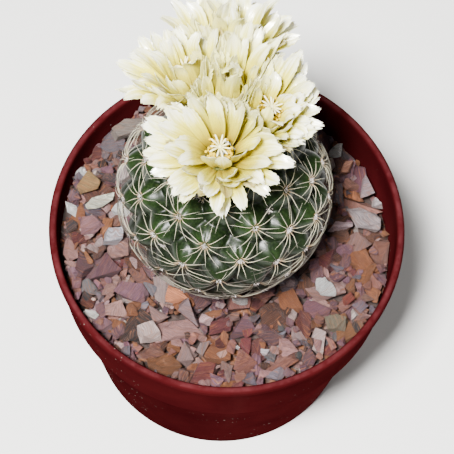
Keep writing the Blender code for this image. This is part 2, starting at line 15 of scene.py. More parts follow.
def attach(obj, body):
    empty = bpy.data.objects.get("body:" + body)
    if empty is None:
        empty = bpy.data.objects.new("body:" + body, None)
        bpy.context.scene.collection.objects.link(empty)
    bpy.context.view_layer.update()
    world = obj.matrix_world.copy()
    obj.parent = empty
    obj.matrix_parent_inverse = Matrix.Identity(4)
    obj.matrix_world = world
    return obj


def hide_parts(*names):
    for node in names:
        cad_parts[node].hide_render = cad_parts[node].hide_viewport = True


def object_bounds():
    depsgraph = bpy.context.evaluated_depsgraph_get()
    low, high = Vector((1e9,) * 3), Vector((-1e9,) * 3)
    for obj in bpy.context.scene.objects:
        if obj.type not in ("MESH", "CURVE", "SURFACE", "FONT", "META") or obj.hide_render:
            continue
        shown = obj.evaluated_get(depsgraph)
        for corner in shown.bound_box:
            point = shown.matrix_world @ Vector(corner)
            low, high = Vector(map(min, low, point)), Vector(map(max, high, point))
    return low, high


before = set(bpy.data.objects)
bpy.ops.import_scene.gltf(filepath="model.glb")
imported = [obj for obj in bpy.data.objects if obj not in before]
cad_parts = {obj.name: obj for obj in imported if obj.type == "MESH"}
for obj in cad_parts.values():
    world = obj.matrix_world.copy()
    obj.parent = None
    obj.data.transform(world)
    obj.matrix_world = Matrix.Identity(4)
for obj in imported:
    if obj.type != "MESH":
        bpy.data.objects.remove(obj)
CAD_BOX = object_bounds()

SEED = 11
BODY = "root"
BLOOM_NAMES = ("front", "left", "back", "middle", "right")
UP = np.array([0.0, 0.0, 1.0])

# Camera: its tilt from the horizontal, roll, distance from the rim's centre and lens
CAMERA_TILT = 1.15742
CAMERA_ROLL = 0.07247
CAMERA_DISTANCE = 0.47684
IMAGE_SIZE = 454
FOCAL_PIXELS = 1700
SENSOR = 36
SHIFT_PIXELS = (-0.28, -3.48)

# Studio: each light's name, place, size, power and colour, and the place they face
LIGHTS = (
    ("key", (-0.15, -0.26, 0.83), 0.14, 41.0, (1.0, 0.99, 0.965)),
    ("fill", (0.75, -0.55, 0.60), 0.9, 2.0, (1.0, 0.985, 0.96)),
    ("rear", (0.10, 0.90, 0.60), 0.8, 2.6, (1.0, 0.985, 0.96)),
)
LIT_PLACE = (0.0, 0.0, 0.09)
STUDIO_COLOUR = (1.0, 0.99, 0.965)
STUDIO_LIGHT = 0.12
FLOOR_HALF = 3.0

# Pot, as in the frame
POT_HEIGHT = 0.079
RIM_RADIUS = 0.050
SKIRT_TOP_RADIUS = 0.0492
SKIRT_FOOT_RADIUS = 0.0479
SKIRT_FOOT_HEIGHT = 0.0545
BODY_TOP_RADIUS = 0.0462
BASE_RADIUS = 0.0400
WALL = 0.0014
FLOOR_UNDERSIDE = 0.0020
FLOOR_TOP = 0.0036
FOOT_INNER_RADIUS = 0.0335
DRAIN_RADIUS = 0.0035
DRAIN_CIRCLE = 0.0210
DRAIN_COUNT = 4
POT_STEPS = 180
LIP_ROUND = 0.0011
# Depth of the painted highlight band along the top of the lip
LIP_HIGHLIGHT_DEPTH = 0.0003

# Soil and the top-dressing of chips
SOIL_TOP = 0.0600
SOIL_SINK = 0.0004
SOIL_GAP = 0.0003
SOIL_AXIS = 0.0002
SOIL_LUMPS = 0.0003
SOIL_LUMP_SIZE = 0.0030
SOIL_RINGS = 40
SOIL_STEPS = 120
DRESSING_DEPTH = 0.0066
DRESSING_FALL = 0.0065
DRESSING_LOW_SIDE = math.radians(30)
BED_RADIUS = 0.0463
GRIT_DEPTH = 0.0048
GRIT_INNER = 0.0150
GRIT_RISE = 0.0007
GRIT_LUMPS = 0.0005
GRIT_LUMP_SIZE = 0.0035
GRIT_RINGS = 26
GRIT_STEPS = 150
CHIP_WALL = 0.0473
CHIP_INNER = 0.0168
CHIP_CELL = 0.0005
CHIP_ROUGHENED = 0.0048
CHIP_THICKNESS = (0.24, 0.42)
CHIP_BREADTH = (0.50, 0.95)
CHIP_SKEW = 0.35
CHIP_LEANS = (0.25, 0.45, 0.75)
CHIP_LIGHT = (0.44, 1.08)
SHARD_SHARE = 0.45
BED_PITCH = 0.0011
CHIP_SINK = 0.22
CHIP_EXCESS = 0.0009
KEY_CHIPS_AFTER = 2
KEY_CHIP_TRIES = 8
KEY_CHIP_LEAN = 0.10

# Sizes of chips in the order they are strewn: count, shortest, longest, tries for a low place
CHIP_SIZES = (
    (200, 0.0050, 0.0080, 8),
    (120, 0.0100, 0.0140, 16),
    (230, 0.0070, 0.0104, 20),
    (300, 0.0042, 0.0068, 20),
    (400, 0.0020, 0.0042, 24),
    (240, 0.0010, 0.0018, 10),
)

# Stem, as in the frame
STEM_X = -0.0015
STEM_Z = 0.1012
TIP_RADIUS = 0.0283
LOWER_DEPTH = 0.0350
TUBERCLE_RISE = 0.0046
TUBERCLE_REACH = 0.0066
TUBERCLE_SHOULDER = 1.7
VALLEY_SOFTNESS = 0.00035
SPIRAL_NUMBER = 94.9
SPIRAL_COUNT = 89
GOLDEN_ANGLE = math.radians(137.50776)
SPIRAL_START = math.radians(203.4)
SPIRAL_LEAN_X = math.radians(-4.0)
SPIRAL_LEAN_Y = math.radians(5.2)
GROOVE_WIDTH = 0.00042
GROOVE_DEPTH = 0.00042
AREOLE_RADIUS = 0.0008
AREOLE_DEPTH = 0.00025
CROWN_RADIUS = 0.02785
SEAT_INNER = math.radians(11)
SEAT_OUTER = math.radians(15)
SPINE_CEILING = 0.0292
LOWEST_SPINE = 0.0735
SPINE_STEPS = 6
SPINES_A_CLUSTER = (11, 15)
SPINE_LENGTH = (0.0060, 0.0082)
SPINE_RADIUS = (0.000068, 0.000100)
SPINE_LIFT = (13, 28)
SPINE_SPREAD = 0.00045
SPINE_SINK = 0.0006
SPINE_OVER_CHIPS = 0.0004
# From here down, the stem counts as old, and its skin and spines darken as painted shade
AGE_AND_SHADE_BELOW = 0.1120
AGE_AND_SHADE_SPAN = 0.0100
# Share of low spines that take the dark old colour: ageing, and painted shade
AGED_AND_SHADED_SHARE = 0.90
TUBE_CLEARANCE = 0.0042

# Wool: a cushion at each areole and tufts in some axils, by hairs, spread and length
HAIR_STEPS = 4
HAIR_RADIUS = (0.000045, 0.00007)
CUSHION_HAIRS = 34
CUSHION_SPREAD = 0.00046
CUSHION_LENGTH = 0.00078
CUSHION_SINK = 0.00040
AXIL_HAIRS = (30, 60)
AXIL_SPREAD = (0.0005, 0.0009)
AXIL_LENGTH = 0.0011
AXIL_SINK = 0.0002
LOWEST_AXIL = -0.35

# Blooms: direction from the stem's centre, as tilt from +Z and azimuth in degrees, and relative size
BLOOMS = {
    "front": (11.3, -101.0, 1.04),
    "left": (25.7, 129.5, 0.94),
    "back": (40.0, 94.0, 1.10),
    "middle": (12.0, 92.0, 1.00),
    "right": (14.5, 20.0, 0.80),
}
TUBE_FOOT = 0.0282
PETAL_FLOOR = 0.0323
SCALE_FLOOR = 0.0290
FRONT_STEEPNESS = 34
FRONT_SHORTENING = 0.20
SIDE_STEEPNESS = 14
LEAST_TILT = -12
SIDE_SHORTENING = 0.24
LEANING_STEEPNESS = 18
ROOM_SHARE = 0.45
CROWDED_RISE = 0.8
CROWDED_TILT = 30
REAR_LENGTHENING = {"front": 0.0, "left": 0.05, "back": 0.0, "middle": 0.25, "right": 0.28}
PLANE_MARGIN = -0.0009
WHORL_MARGIN = 0.0006
MARGIN_SPREAD = 0.0009
AZIMUTH_SPREAD = 0.32
TILT_SPREAD = (-18, 9)
LENGTH_SPREAD = (0.82, 1.07)
WIDTH_SPREAD = (0.88, 1.12)
CROWDED_SHORTENING = 0.34
CROWDED_RUMPLE = 0.8

# Where two blooms meet, the earlier one here spreads a little over the later one
PRECEDENCE = ("front", "right", "left", "middle", "back")
PRECEDENCE_SHIFT = 0.0026
THROAT_ROOM = 0.0046
THROAT_HEIGHT = 0.0078

# How far each bloom's side tepals turn their inner face toward -Y
FACING_TWIST = {"front": 0.0, "left": 0.25, "back": 0.55, "middle": 0.30, "right": 0.40}

# How far each bloom's inner tepals close over its throat
CLOSED = {"front": 0.0, "left": 0.60, "back": 1.2, "middle": 1.25, "right": 0.5}
WHORL_CLOSING = (0.0, 0.15, 0.45, 1.30)

# Whorls of tepals: count, length, half width, root tilt, final tilt, root radius, root height
WHORLS = (
    (19, 0.0168, 0.00188, 52, 82, 0.0039, 0.0070),
    (18, 0.0168, 0.00192, 44, 70, 0.0039, 0.0073),
    (14, 0.0160, 0.00195, 34, 56, 0.0037, 0.0077),
    (9, 0.0148, 0.00200, 16, 42, 0.0033, 0.0080),
)

# Olive scales that clasp the tube, in the same terms
SCALES = (
    (7, 0.0050, 0.00150, 4, 22, 0.0031, 0.0012),
    (9, 0.0068, 0.00150, 6, 30, 0.0037, 0.0030),
    (10, 0.0090, 0.00155, 14, 44, 0.0041, 0.0046),
    (11, 0.0115, 0.00160, 28, 62, 0.0043, 0.0060),
)

# One spent tepal of the front bloom hangs over the stem toward the viewer
DROOPING_AZIMUTH = math.radians(-77)
DROOPING_TEPAL = (0.0104, 0.00240, 72, 106, 0.0039, 0.0062)
TEPAL_ROWS = 20
TEPAL_COLUMNS = 12
TEPAL_THICKNESS = 0.00026
TEPAL_CUP = (0.26, 0.62)
TEPAL_RUFFLE = 0.00022
TEPAL_CREASE = 0.00024
TEPAL_RIB = 0.000025
TEPAL_FRINGE = 0.00095
TEPAL_NOTCH = 0.00016

# Outline of a bloom's tube, from inside its throat down to its foot: radius, height, place along
TUBE = (
    (0.0001, 0.0056, 0.0), (0.0024, 0.0058, 0.0), (0.0031, 0.0078, 0.06), (0.0034, 0.0086, 0.10),
    (0.0040, 0.0087, 0.10), (0.0043, 0.0078, 0.06), (0.0036, 0.0042, 0.0), (0.0028, 0.0012, 0.0),
    (0.0026, -0.0006, 0.0), (0.0001, -0.0006, 0.0),
)
TUBE_STEPS = 32

# Stamens and stigma, in the bloom's own frame
STAMEN_COUNT = 110
STAMEN_FOOT = 0.0062
STAMEN_TOP = (0.0112, 0.0152)
STAMEN_CIRCLE = (0.0011, 0.0022)
STAMEN_LEAN = (0.02, 0.22)
STAMEN_STRAY = 0.0003
STAMEN_SHARES = (0.0, 0.35, 0.70, 0.90, 0.93, 0.98, 1.0)
STAMEN_RADII = (0.00010, 0.00009, 0.00009, 0.00009, 0.00030, 0.00034, 0.00008)
LOBE_COUNT = 11
LOBE_FOOT = 0.0156
LOBE_LENGTH = (0.0020, 0.0030)
LOBE_LIFT = (0.25, 1.10)
LOBE_SHARES = (0.0, 0.2, 0.45, 0.7, 0.88, 1.0)
LOBE_RADII = (0.00017, 0.00021, 0.00023, 0.00023, 0.00019, 0.00008)
STYLE_HEIGHTS = (0.0061, 0.0085, 0.0110, 0.0135, 0.0152, 0.0160)
STYLE_RADII = (0.0005, 0.0005, 0.0005, 0.00052, 0.0006, 0.0004)


def join(value, socket):
    """Link a value to a node's input, or set the input itself to a plain number or colour."""
    if isinstance(value, Value):
        value.tree.links.new(value.socket, socket)
    elif socket.type == "RGBA":
        socket.default_value = (*value, 1.0)
    else:
        socket.default_value = value


def feed(target, **values):
    """Join each value to the input of that name, with a space for each underscore."""
    for key, value in values.items():
        join(value, target.inputs[key.replace("_", " ")])
    return target


def node(tree, kind, settings=None, **values):
    """A shader node with its settings and its named inputs."""
    made = tree.nodes.new("ShaderNode" + kind)
    for key, value in (settings or {}).items():
        setattr(made, key, value)
    return feed(made, **values)


class Value:
    """A node's output, with arithmetic and with the ramps, stains and bump that build on it."""

    def __init__(self, tree, made, output):
        self.tree = tree
        self.socket = made.outputs[output]

    def maths(self, operation, first, second=0.0):
        """A sum or other operation on two values, either of which may be a plain number."""
        made = node(self.tree, "Math", {"operation": operation})
        join(first, made.inputs[0])
        join(second, made.inputs[1])
        return Value(self.tree, made, 0)

    def __add__(self, other):
        return self.maths("ADD", self, other)

    def __radd__(self, other):
        return self.maths("ADD", other, self)

    def __sub__(self, other):
        return self.maths("SUBTRACT", self, other)

    def __rsub__(self, other):
        return self.maths("SUBTRACT", other, self)

    def __mul__(self, other):
        return self.maths("MULTIPLY", self, other)

    def __truediv__(self, other):
        return self.maths("DIVIDE", self, other)

    def ramp(self, *stops):
        """Colours at places along the value."""
        made = node(self.tree, "ValToRGB", Fac=self)
        elements = made.color_ramp.elements
        while len(elements) < len(stops):
            elements.new(0.5)
        for element, (place, colour) in zip(elements, stops):
            element.position = place
            element.color = (*colour, 1.0)
        return Value(self.tree, made, "Color")

    def grey(self, *stops):
        """A ramp between plain levels in place of colours."""
        return self.ramp(*((place, (level, level, level)) for place, level in stops))

    def mixed(self, share, colour, blend="MIX"):
        """This colour with another over it; the share and the colour may be values or plain."""
        made = node(self.tree, "Mix", {"data_type": "RGBA", "blend_type": blend})
        for place, value in ((0, share), (6, self), (7, colour)):
            join(value, made.inputs[place])
        return Value(self.tree, made, 2)

    def stained(self, *layers):
        """This colour with several over it, each by its share."""
        colour = self
        for share, stain in layers:
            colour = colour.mixed(share, stain)
        return colour

    def shaded(self, shade):
        """This colour times a shade."""
        return self.mixed(1.0, shade, "MULTIPLY")

    def bump(self, strength, distance):
        """A normal that takes the value as its height."""
        made = node(self.tree, "Bump", Strength=strength, Distance=distance, Height=self)
        return Value(self.tree, made, "Normal")


class Look:
    """A new material, with the sources that its values start from."""

    def __init__(self, name):
        self.material = bpy.data.materials.new(name)
        self.material.use_nodes = True
        self.tree = self.material.node_tree

    def source(self, kind, output, settings=None, **values):
        return Value(self.tree, node(self.tree, kind, settings, **values), output)

    def place(self):
        return self.source("TexCoord", "Object")

    def attribute(self, name, output="Fac"):
        return self.source("Attribute", output, {"attribute_name": name})

    def noise(self, scale, detail, roughness=0.55, stretch=None):
        """Noise over the object's own coordinates, stretched where asked."""
        place = self.place()
        if stretch:
            place = self.source("Mapping", "Vector", Vector=place, Scale=stretch)
        return self.source("TexNoise", "Fac", Vector=place, Scale=scale, Detail=detail, Roughness=roughness)

    def finish(self, **values):
        """Feed the shader and return the material."""
        feed(self.tree.nodes["Principled BSDF"], **values)
        return self.material


def pot_material():
    """Dark red moulded plastic with faint dust, specks of lime and a painted highlight along the lip."""
    look = Look("moulded_plastic")
    dust = look.noise(40, 6, 0.6, (1.0, 1.0, 0.10)).grey((0.56, 0.0), (0.80, 1.0))
    specks = look.noise(900, 2).grey((0.70, 0.0), (0.76, 1.0))
    patches = look.noise(45, 2).grey((0.52, 0.0), (0.66, 1.0))
    height = look.source("SeparateXYZ", "Z", Vector=look.place())
    # Painted highlight: a paler band along the top of the lip, broken up by noise, in place of the light
    # the rim catches
    second_tone = ((height - (POT_HEIGHT - LIP_HIGHLIGHT_DEPTH)) / LIP_HIGHLIGHT_DEPTH).grey((0.0, 0.0), (0.9, 1.0))
    lip_highlight_breakup = look.noise(260, 5, 0.65).grey((0.36, 0.05), (0.70, 0.90))
    colour = look.noise(60, 5).ramp((0.30, (0.023, 0.0020, 0.0027)), (0.70, (0.036, 0.0036, 0.0043)))
    return look.finish(
        Base_Color=colour.stained(
            (dust * 0.05, (0.16, 0.05, 0.045)),
            (specks * patches * 0.55, (0.70, 0.62, 0.55)),
            # painted highlight on the lip
            (second_tone * lip_highlight_breakup, (0.058, 0.0125, 0.0145))),
        Specular_IOR_Level=0.0,
        Roughness=look.noise(220, 5).grey((0.30, 0.42), (0.75, 0.60)),
        Normal=look.noise(1500, 3, 0.6, (1.0, 1.0, 0.35)).bump(0.05, 0.0001))


def soil_material():
    """Dark crumbs."""
    look = Look("crumbly_soil")
    grains = look.noise(700, 8, 0.7)
    colour = grains.ramp((0.32, (0.010, 0.006, 0.004)), (0.55, (0.040, 0.024, 0.015)),
                         (0.78, (0.110, 0.075, 0.050)))
    return look.finish(Base_Color=colour, Roughness=0.95, Normal=grains.bump(0.8, 0.0006))


def stone_material():
    """Dry crushed stone: each chip's own colour, with its layers, mottling, stains and dust."""
    look = Look("crushed_stone")
    strata = look.attribute("strata")

    def chip_noise(scale, detail, roughness):
        """Noise that changes from chip to chip."""
        return look.source("TexNoise", "Fac", {"noise_dimensions": "4D"}, Vector=look.place(),
                           W=strata * 0.08, Scale=scale, Detail=detail, Roughness=roughness)

    layers = look.source("TexNoise", "Fac", {"noise_dimensions": "1D"}, Scale=1.0, Detail=4.0,
                         Roughness=0.7, W=strata + chip_noise(420, 5, 0.6) * 8.0)
    mottle = chip_noise(330, 7, 0.68)
    banded = chip_noise(60, 1, 0.5).grey((0.56, 0.0), (0.74, 0.45))
    rust = chip_noise(150, 6, 0.66).grey((0.52, 0.0), (0.64, 0.70))
    quartz = chip_noise(240, 8, 0.72).grey((0.60, 0.0), (0.70, 0.60))
    wine = chip_noise(200, 5, 0.6).grey((0.60, 0.0), (0.70, 0.60))
    dark = look.noise(1500, 3).grey((0.66, 0.0), (0.74, 0.6))
    own = look.attribute("stone", "Color").shaded(mottle.grey((0.32, 0.18), (0.50, 0.86), (0.68, 1.75)))
    return look.finish(
        Base_Color=own.stained(
            (rust, (0.31, 0.105, 0.034)),
            (layers.grey((0.30, 0.50), (0.48, 0.0)) * banded, (0.42, 0.31, 0.27)),
            (quartz, (0.50, 0.41, 0.38)),
            (wine, (0.095, 0.034, 0.036)),
            (dark, (0.08, 0.050, 0.045))),
        Specular_IOR_Level=0.42,
        Roughness=mottle.grey((0.3, 0.42), (0.7, 0.75)),
        Normal=chip_noise(460, 9, 0.76).bump(1.0, 0.0012))


def skin_material():
    """Waxy cactus skin: dark green with painted shade in the valleys, paler on the shoulders, darker and
    greyer from the middle down as painted shade, dusty and faintly mottled.
    """
    look = Look("cactus_skin")
    # Painted shade: the skin darkens steeply from the tubercles' shoulders down into the valleys
    colour = look.attribute("height").ramp(
        (0.0, (0.0006, 0.0014, 0.0004)), (0.35, (0.0025, 0.0074, 0.0013)),
        (0.80, (0.0060, 0.0152, 0.0024)), (1.0, (0.019, 0.025, 0.007)))
    stipple = look.noise(1600, 2).grey((0.45, 0.0), (0.75, 0.40))
    haze = look.noise(170, 3).grey((0.55, 0.0), (0.80, 0.10))
    return look.finish(
        Base_Color=colour.shaded(look.noise(110, 5).grey((0.30, 0.70), (0.70, 1.30))).stained(
            (stipple, (0.024, 0.044, 0.013)),
            (haze, (0.036, 0.060, 0.028)),
            # Painted shade: the stem from its middle down is darkened toward a grey-green
            (look.attribute("age") * 0.72, (0.0030, 0.0036, 0.0022))),
        Specular_IOR_Level=0.20, Subsurface_Weight=0.05, Subsurface_Radius=(0.4, 1.0, 0.3),
        Subsurface_Scale=0.0010,
        Roughness=look.noise(300, 4).grey((0.30, 0.28), (0.75, 0.44)),
        Normal=look.noise(2200, 3).bump(0.16, 0.0002))


def spine_material():
    """Spines run from a tan-brown foot to cream; old ones low on the stem are greyer with ageing and much
    darker as painted shade.
    """
    look = Look("spine")
    along = look.attribute("along")
    fresh = along.ramp((0.0, (0.17, 0.060, 0.022)), (0.10, (0.31, 0.20, 0.105)),
                       (0.24, (0.42, 0.385, 0.265)), (1.0, (0.47, 0.445, 0.365)))
    # Old spines: greyed by ageing and darkened far past that as painted shade
    second_tone = along.ramp((0.0, (0.012, 0.007, 0.006)), (0.25, (0.026, 0.018, 0.017)),
                      (1.0, (0.080, 0.064, 0.062)))
    streak = look.noise(600, 3).grey((0.3, 0.82), (0.7, 1.12))
    return look.finish(Base_Color=fresh.mixed(look.attribute("age"), second_tone).shaded(streak),
                       Roughness=0.42, Specular_IOR_Level=0.5)


def wool_material():
    """Off-white wool, faintly uneven."""
    look = Look("areole_wool")
    colour = look.noise(500, 3).ramp((0.3, (0.38, 0.30, 0.28)), (0.7, (0.60, 0.55, 0.53)))
    return look.finish(Base_Color=colour, Roughness=0.85, Sheen_Weight=0.3)


def petal_material():
    """Satin tepals: golden-olive throat partly deepened by painted shade, cream blade, and a painted
    highlight of white that runs down from the tip in streaks.
    """
    look = Look("cream_tepal")
    along, across, own, face_in, met, outer = (
        look.attribute(name) for name in ("along", "across", "own", "inner", "met", "outer"))
    # Deep golden-olive at the tepals' feet: partly the throat's own colour, partly painted shade deep in
    # the bloom
    inner = along.ramp((0.0, (0.18, 0.110, 0.002)), (0.20, (0.40, 0.295, 0.010)),
                       (0.42, (0.58, 0.495, 0.028)), (0.66, (0.70, 0.640, 0.080)),
                       (1.0, (0.80, 0.770, 0.24)))
    back = along.ramp((0.0, (0.15, 0.11, 0.005)), (0.30, (0.42, 0.34, 0.034)),
                      (0.70, (0.58, 0.52, 0.070)), (1.0, (0.72, 0.68, 0.22)))
    green = along.ramp((0.0, (0.060, 0.085, 0.018)), (0.60, (0.190, 0.170, 0.040)),
                       (1.0, (0.42, 0.36, 0.12)))
    place = look.source("CombineXYZ", "Vector", X=across * 3.4, Y=along * 1.6, Z=own)
    streaks = look.source("TexNoise", "Fac", Vector=place, Scale=1.0, Detail=4.0, Roughness=0.62)
    midrib = across.maths("ABSOLUTE", across).grey((0.0, 0.75), (0.55, 0.0))
    # Painted highlight: white streaks running down from the tips in place of the satin sheen
    white = (along + (streaks - 0.5) * 0.9).grey((0.68, 0.0), (1.0, 0.90))
    tones = look.source("TexWhiteNoise", "Value", {"noise_dimensions": "1D"}, W=own)
    colour = back.mixed(face_in, inner).stained(
        (midrib * 0.30, (0.42, 0.34, 0.045)),
        # The painted highlight fades where blooms crowd and on the tepals' backs, as painted shade
        (white * ((1.0 - met * 0.85) * (0.45 + face_in * 0.55)), (0.94, 0.94, 0.83)),
        (outer.grey((0.5, 0.0), (1.0, 0.85)), green),
        (midrib * outer, (0.24, 0.18, 0.06)))
    # Lengthwise streaks: partly fine veining, partly painted satin sheen
    colour = colour.shaded(streaks.grey((0.32, 0.80), (0.62, 1.06)))
    colour = colour.shaded(tones.ramp((0.0, (0.86, 0.84, 0.70)), (0.55, (0.98, 0.98, 0.94)),
                                      (1.0, (1.06, 1.06, 1.06))))
    return look.finish(
        Base_Color=colour, Specular_IOR_Level=0.85, Coat_Weight=0.45, Coat_Roughness=0.18,
        Subsurface_Weight=0.30, Subsurface_Radius=(1.0, 0.80, 0.25), Subsurface_Scale=0.0010,
        Roughness=streaks.grey((0.35, 0.42), (0.62, 0.24)),
        Normal=across.maths("SINE", across * 36.0).bump(0.50, 0.00002))


def pollen_material():
    """Pale yellow filaments that end in golden, grainy anthers."""
    look = Look("pollen")
    colour = look.attribute("along").ramp(
        (0.0, (0.34, 0.27, 0.02)), (0.60, (0.46, 0.35, 0.010)),
        (0.86, (0.43, 0.275, 0.0003)), (1.0, (0.48, 0.33, 0.0005)))
    return look.finish(Base_Color=colour, Roughness=0.8, Specular_IOR_Level=0.15,
                       Normal=look.noise(4000, 3).bump(0.4, 0.0002))


def stigma_material():
    """Pale yellow, nearly white at the lobes' tips."""
    look = Look("stigma")
    colour = look.attribute("along").ramp(
        (0.0, (0.50, 0.45, 0.12)), (0.5, (0.74, 0.67, 0.34)), (1.0, (0.82, 0.77, 0.54)))
    return look.finish(Base_Color=colour, Roughness=0.6, Subsurface_Weight=0.4,
                       Subsurface_Radius=(1.0, 0.9, 0.5), Subsurface_Scale=0.0008,
                       Normal=look.noise(3500, 3).bump(0.35, 0.0002))


def floor_material():
    """A plain pale floor, very slightly uneven."""
    look = Look("pale_floor")
    colour = look.noise(6, 3).ramp((0.3, (0.70, 0.70, 0.69)), (0.7, (0.73, 0.73, 0.72)))
    return look.finish(Base_Color=colour, Roughness=0.75)


def new_object(name, data):
    """An object of some data, linked into the scene."""
    made = bpy.data.objects.new(name, data)
    bpy.context.scene.collection.objects.link(made)
    return made


class Mesh:
    """Points, faces and point attributes gathered from many small forms into one piece."""

    def __init__(self):
        self.points = []
        self.faces = []
        self.values = {}
        self.count = 0

    def add(self, points, faces, **values):
        """Add points and faces; each value is one number or colour, or one for each point."""
        points = np.asarray(points, float).reshape(-1, 3)
        self.points.append(points)
        self.faces += [[index + self.count for index in face] for face in faces]
        for key, value in values.items():
            value = np.asarray(value, float)
            width = 4 if key == "stone" else 1
            full = np.empty((len(points), width))
            full[:] = value.reshape(-1, width)
            self.values.setdefault(key, []).append(full)
        self.count += len(points)

    def piece(self, name, surface, slot, replaced, smooth):
        """Make the object, dress it, fasten it to the frame and return it."""
        mesh = bpy.data.meshes.new(name)
        mesh.from_pydata(np.concatenate(self.points).tolist(), [], self.faces)
        for key, parts in self.values.items():
            kind, field = ("FLOAT_COLOR", "color") if key == "stone" else ("FLOAT", "value")
            layer = mesh.attributes.new(key, kind, "POINT")
            layer.data.foreach_set(field, np.concatenate(parts).ravel())
        mesh.materials.append(surface)
        mesh.shade_smooth()
        mesh.set_sharp_from_angle(angle=math.radians(smooth))
        made = new_object(name, mesh)
        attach(made, BODY)
        if replaced:
            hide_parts(*replaced)
        return made


def unit(vectors):
    """Vectors scaled to a length of one."""
    length = np.linalg.norm(vectors, axis=-1, keepdims=True)
    return vectors / np.maximum(length, 1e-12)


def tubes(paths, radii, sides):
    """Closed tubes along many paths: points and faces, from (n, k, 3) paths and (n, k) radii."""
    count, steps, _ = paths.shape
    tangent = unit(np.gradient(paths, axis=1))
    upright = np.abs(tangent[:, :1, 2:3]) > 0.8
    guide = np.where(upright, np.array([1.0, 0.0, 0.0]), UP)
    side = unit(np.cross(tangent, guide))
    other = np.cross(tangent, side)
    turn = math.tau * np.arange(sides) / sides
    ring = side[:, :, None] * np.cos(turn)[:, None] + other[:, :, None] * np.sin(turn)[:, None]
    points = paths[:, :, None] + radii[:, :, None, None] * ring
    first = (np.arange(count)[:, None, None] * steps + np.arange(steps - 1)[None, :, None]) * sides
    here = np.arange(sides)
    following = (here + 1) % sides
    quads = np.stack([first + here, first + following, first + sides + following, first + sides + here], -1)
    starts = np.arange(count)[:, None] * steps * sides
    roots = starts + here[::-1]
    ends = starts + (steps - 1) * sides + here
    faces = quads.reshape(-1, 4).tolist() + roots.tolist() + ends.tolist()
    return points.reshape(-1, 3), faces


def bristles(name, surface, slot, replaced, smooth, sides, paths, radii, **values):
    """One piece of many closed tubes; each value has a number for every ring of points."""
    piece = Mesh()
    points, faces = tubes(np.array(paths), np.array(radii), sides)
    piece.add(points, faces, **{key: np.repeat(value, sides) for key, value in values.items()})
    piece.piece(name, surface, slot, replaced, smooth)


def turned(outline, steps):
    """Rings of points: a (radius, height) outline turned about +Z."""
    radius, height = np.array(outline).T[:, :, None]
    turn = math.tau * np.arange(steps) / steps
    return np.stack([radius * np.cos(turn), radius * np.sin(turn), height + 0 * turn], -1)


def ring_faces(rows, steps, closed):
    """Quads between rings of points, and from the last ring to the first where closed."""
    first = np.arange(rows if closed else rows - 1)[:, None] * steps
    below = (first + steps) % (rows * steps)
    here = np.arange(steps)
    following = (here + 1) % steps
    quads = np.stack([first + here, below + here, below + following, first + following], -1)
    return quads.reshape(-1, 4).tolist()


def lathe(profile, steps):
    """Turn a closed (radius, height) outline about +Z."""
    return turned(profile, steps), ring_faces(len(profile), steps, True)


def arc(centre, radius, start, end, count):
    """Points of an arc in a (radius, height) profile, with angles in degrees."""
    turns = [math.radians(start + (end - start) * k / (count - 1)) for k in range(count)]
    return [(centre[0] + radius * math.cos(turn), centre[1] + radius * math.sin(turn)) for turn in turns]


def make_pot():
    """The turned shell, with its rolled lip, skirt, foot ring and drain holes."""
    top = POT_HEIGHT
    profile = arc((RIM_RADIUS - LIP_ROUND, top - LIP_ROUND), LIP_ROUND, 90, 0, 7)
    profile += [(RIM_RADIUS, top - 0.0023)]
    profile += arc((RIM_RADIUS - 0.0006, top - 0.0026), 0.0006, 0, -80, 4)
    profile += [
        (SKIRT_TOP_RADIUS + 0.0001, top - 0.0035),
        (SKIRT_TOP_RADIUS, top - 0.0040),
        (SKIRT_FOOT_RADIUS + 0.0001, SKIRT_FOOT_HEIGHT + 0.0003),
        (SKIRT_FOOT_RADIUS - 0.0002, SKIRT_FOOT_HEIGHT),
        (BODY_TOP_RADIUS + 0.0004, SKIRT_FOOT_HEIGHT - 0.0003),
        (BODY_TOP_RADIUS, SKIRT_FOOT_HEIGHT - 0.0008),
        (BASE_RADIUS + 0.0002, 0.0009),
        (BASE_RADIUS - 0.0001, 0.0003),
        (BASE_RADIUS - 0.0006, 0.0),
        (FOOT_INNER_RADIUS, 0.0),
        (FOOT_INNER_RADIUS - 0.0004, 0.0004),
        (FOOT_INNER_RADIUS - 0.0006, FLOOR_UNDERSIDE),
        (DRAIN_RADIUS, FLOOR_UNDERSIDE),
        (DRAIN_RADIUS, FLOOR_TOP),
        (BASE_RADIUS - WALL - 0.0004, FLOOR_TOP),
        (BODY_TOP_RADIUS - WALL, SKIRT_FOOT_HEIGHT - 0.0014),
        (SKIRT_FOOT_RADIUS - WALL, SKIRT_FOOT_HEIGHT + 0.0004),
        (SKIRT_TOP_RADIUS - WALL, top - 0.0034),
    ]
    profile += arc((SKIRT_TOP_RADIUS - WALL + 0.0009, top - 0.0009), 0.0009, 180, 100, 5)
    shell = Mesh()
    shell.add(*lathe(profile, POT_STEPS))
    pot = shell.piece("pot_shell", pot_material(), "pot_plastic", ["pot"], 40)
    for k in range(DRAIN_COUNT):
        turn = math.tau * (k + 0.5) / DRAIN_COUNT
        place = Vector((DRAIN_CIRCLE * math.cos(turn), DRAIN_CIRCLE * math.sin(turn), FLOOR_UNDERSIDE))
        cut_hole(pot, place)


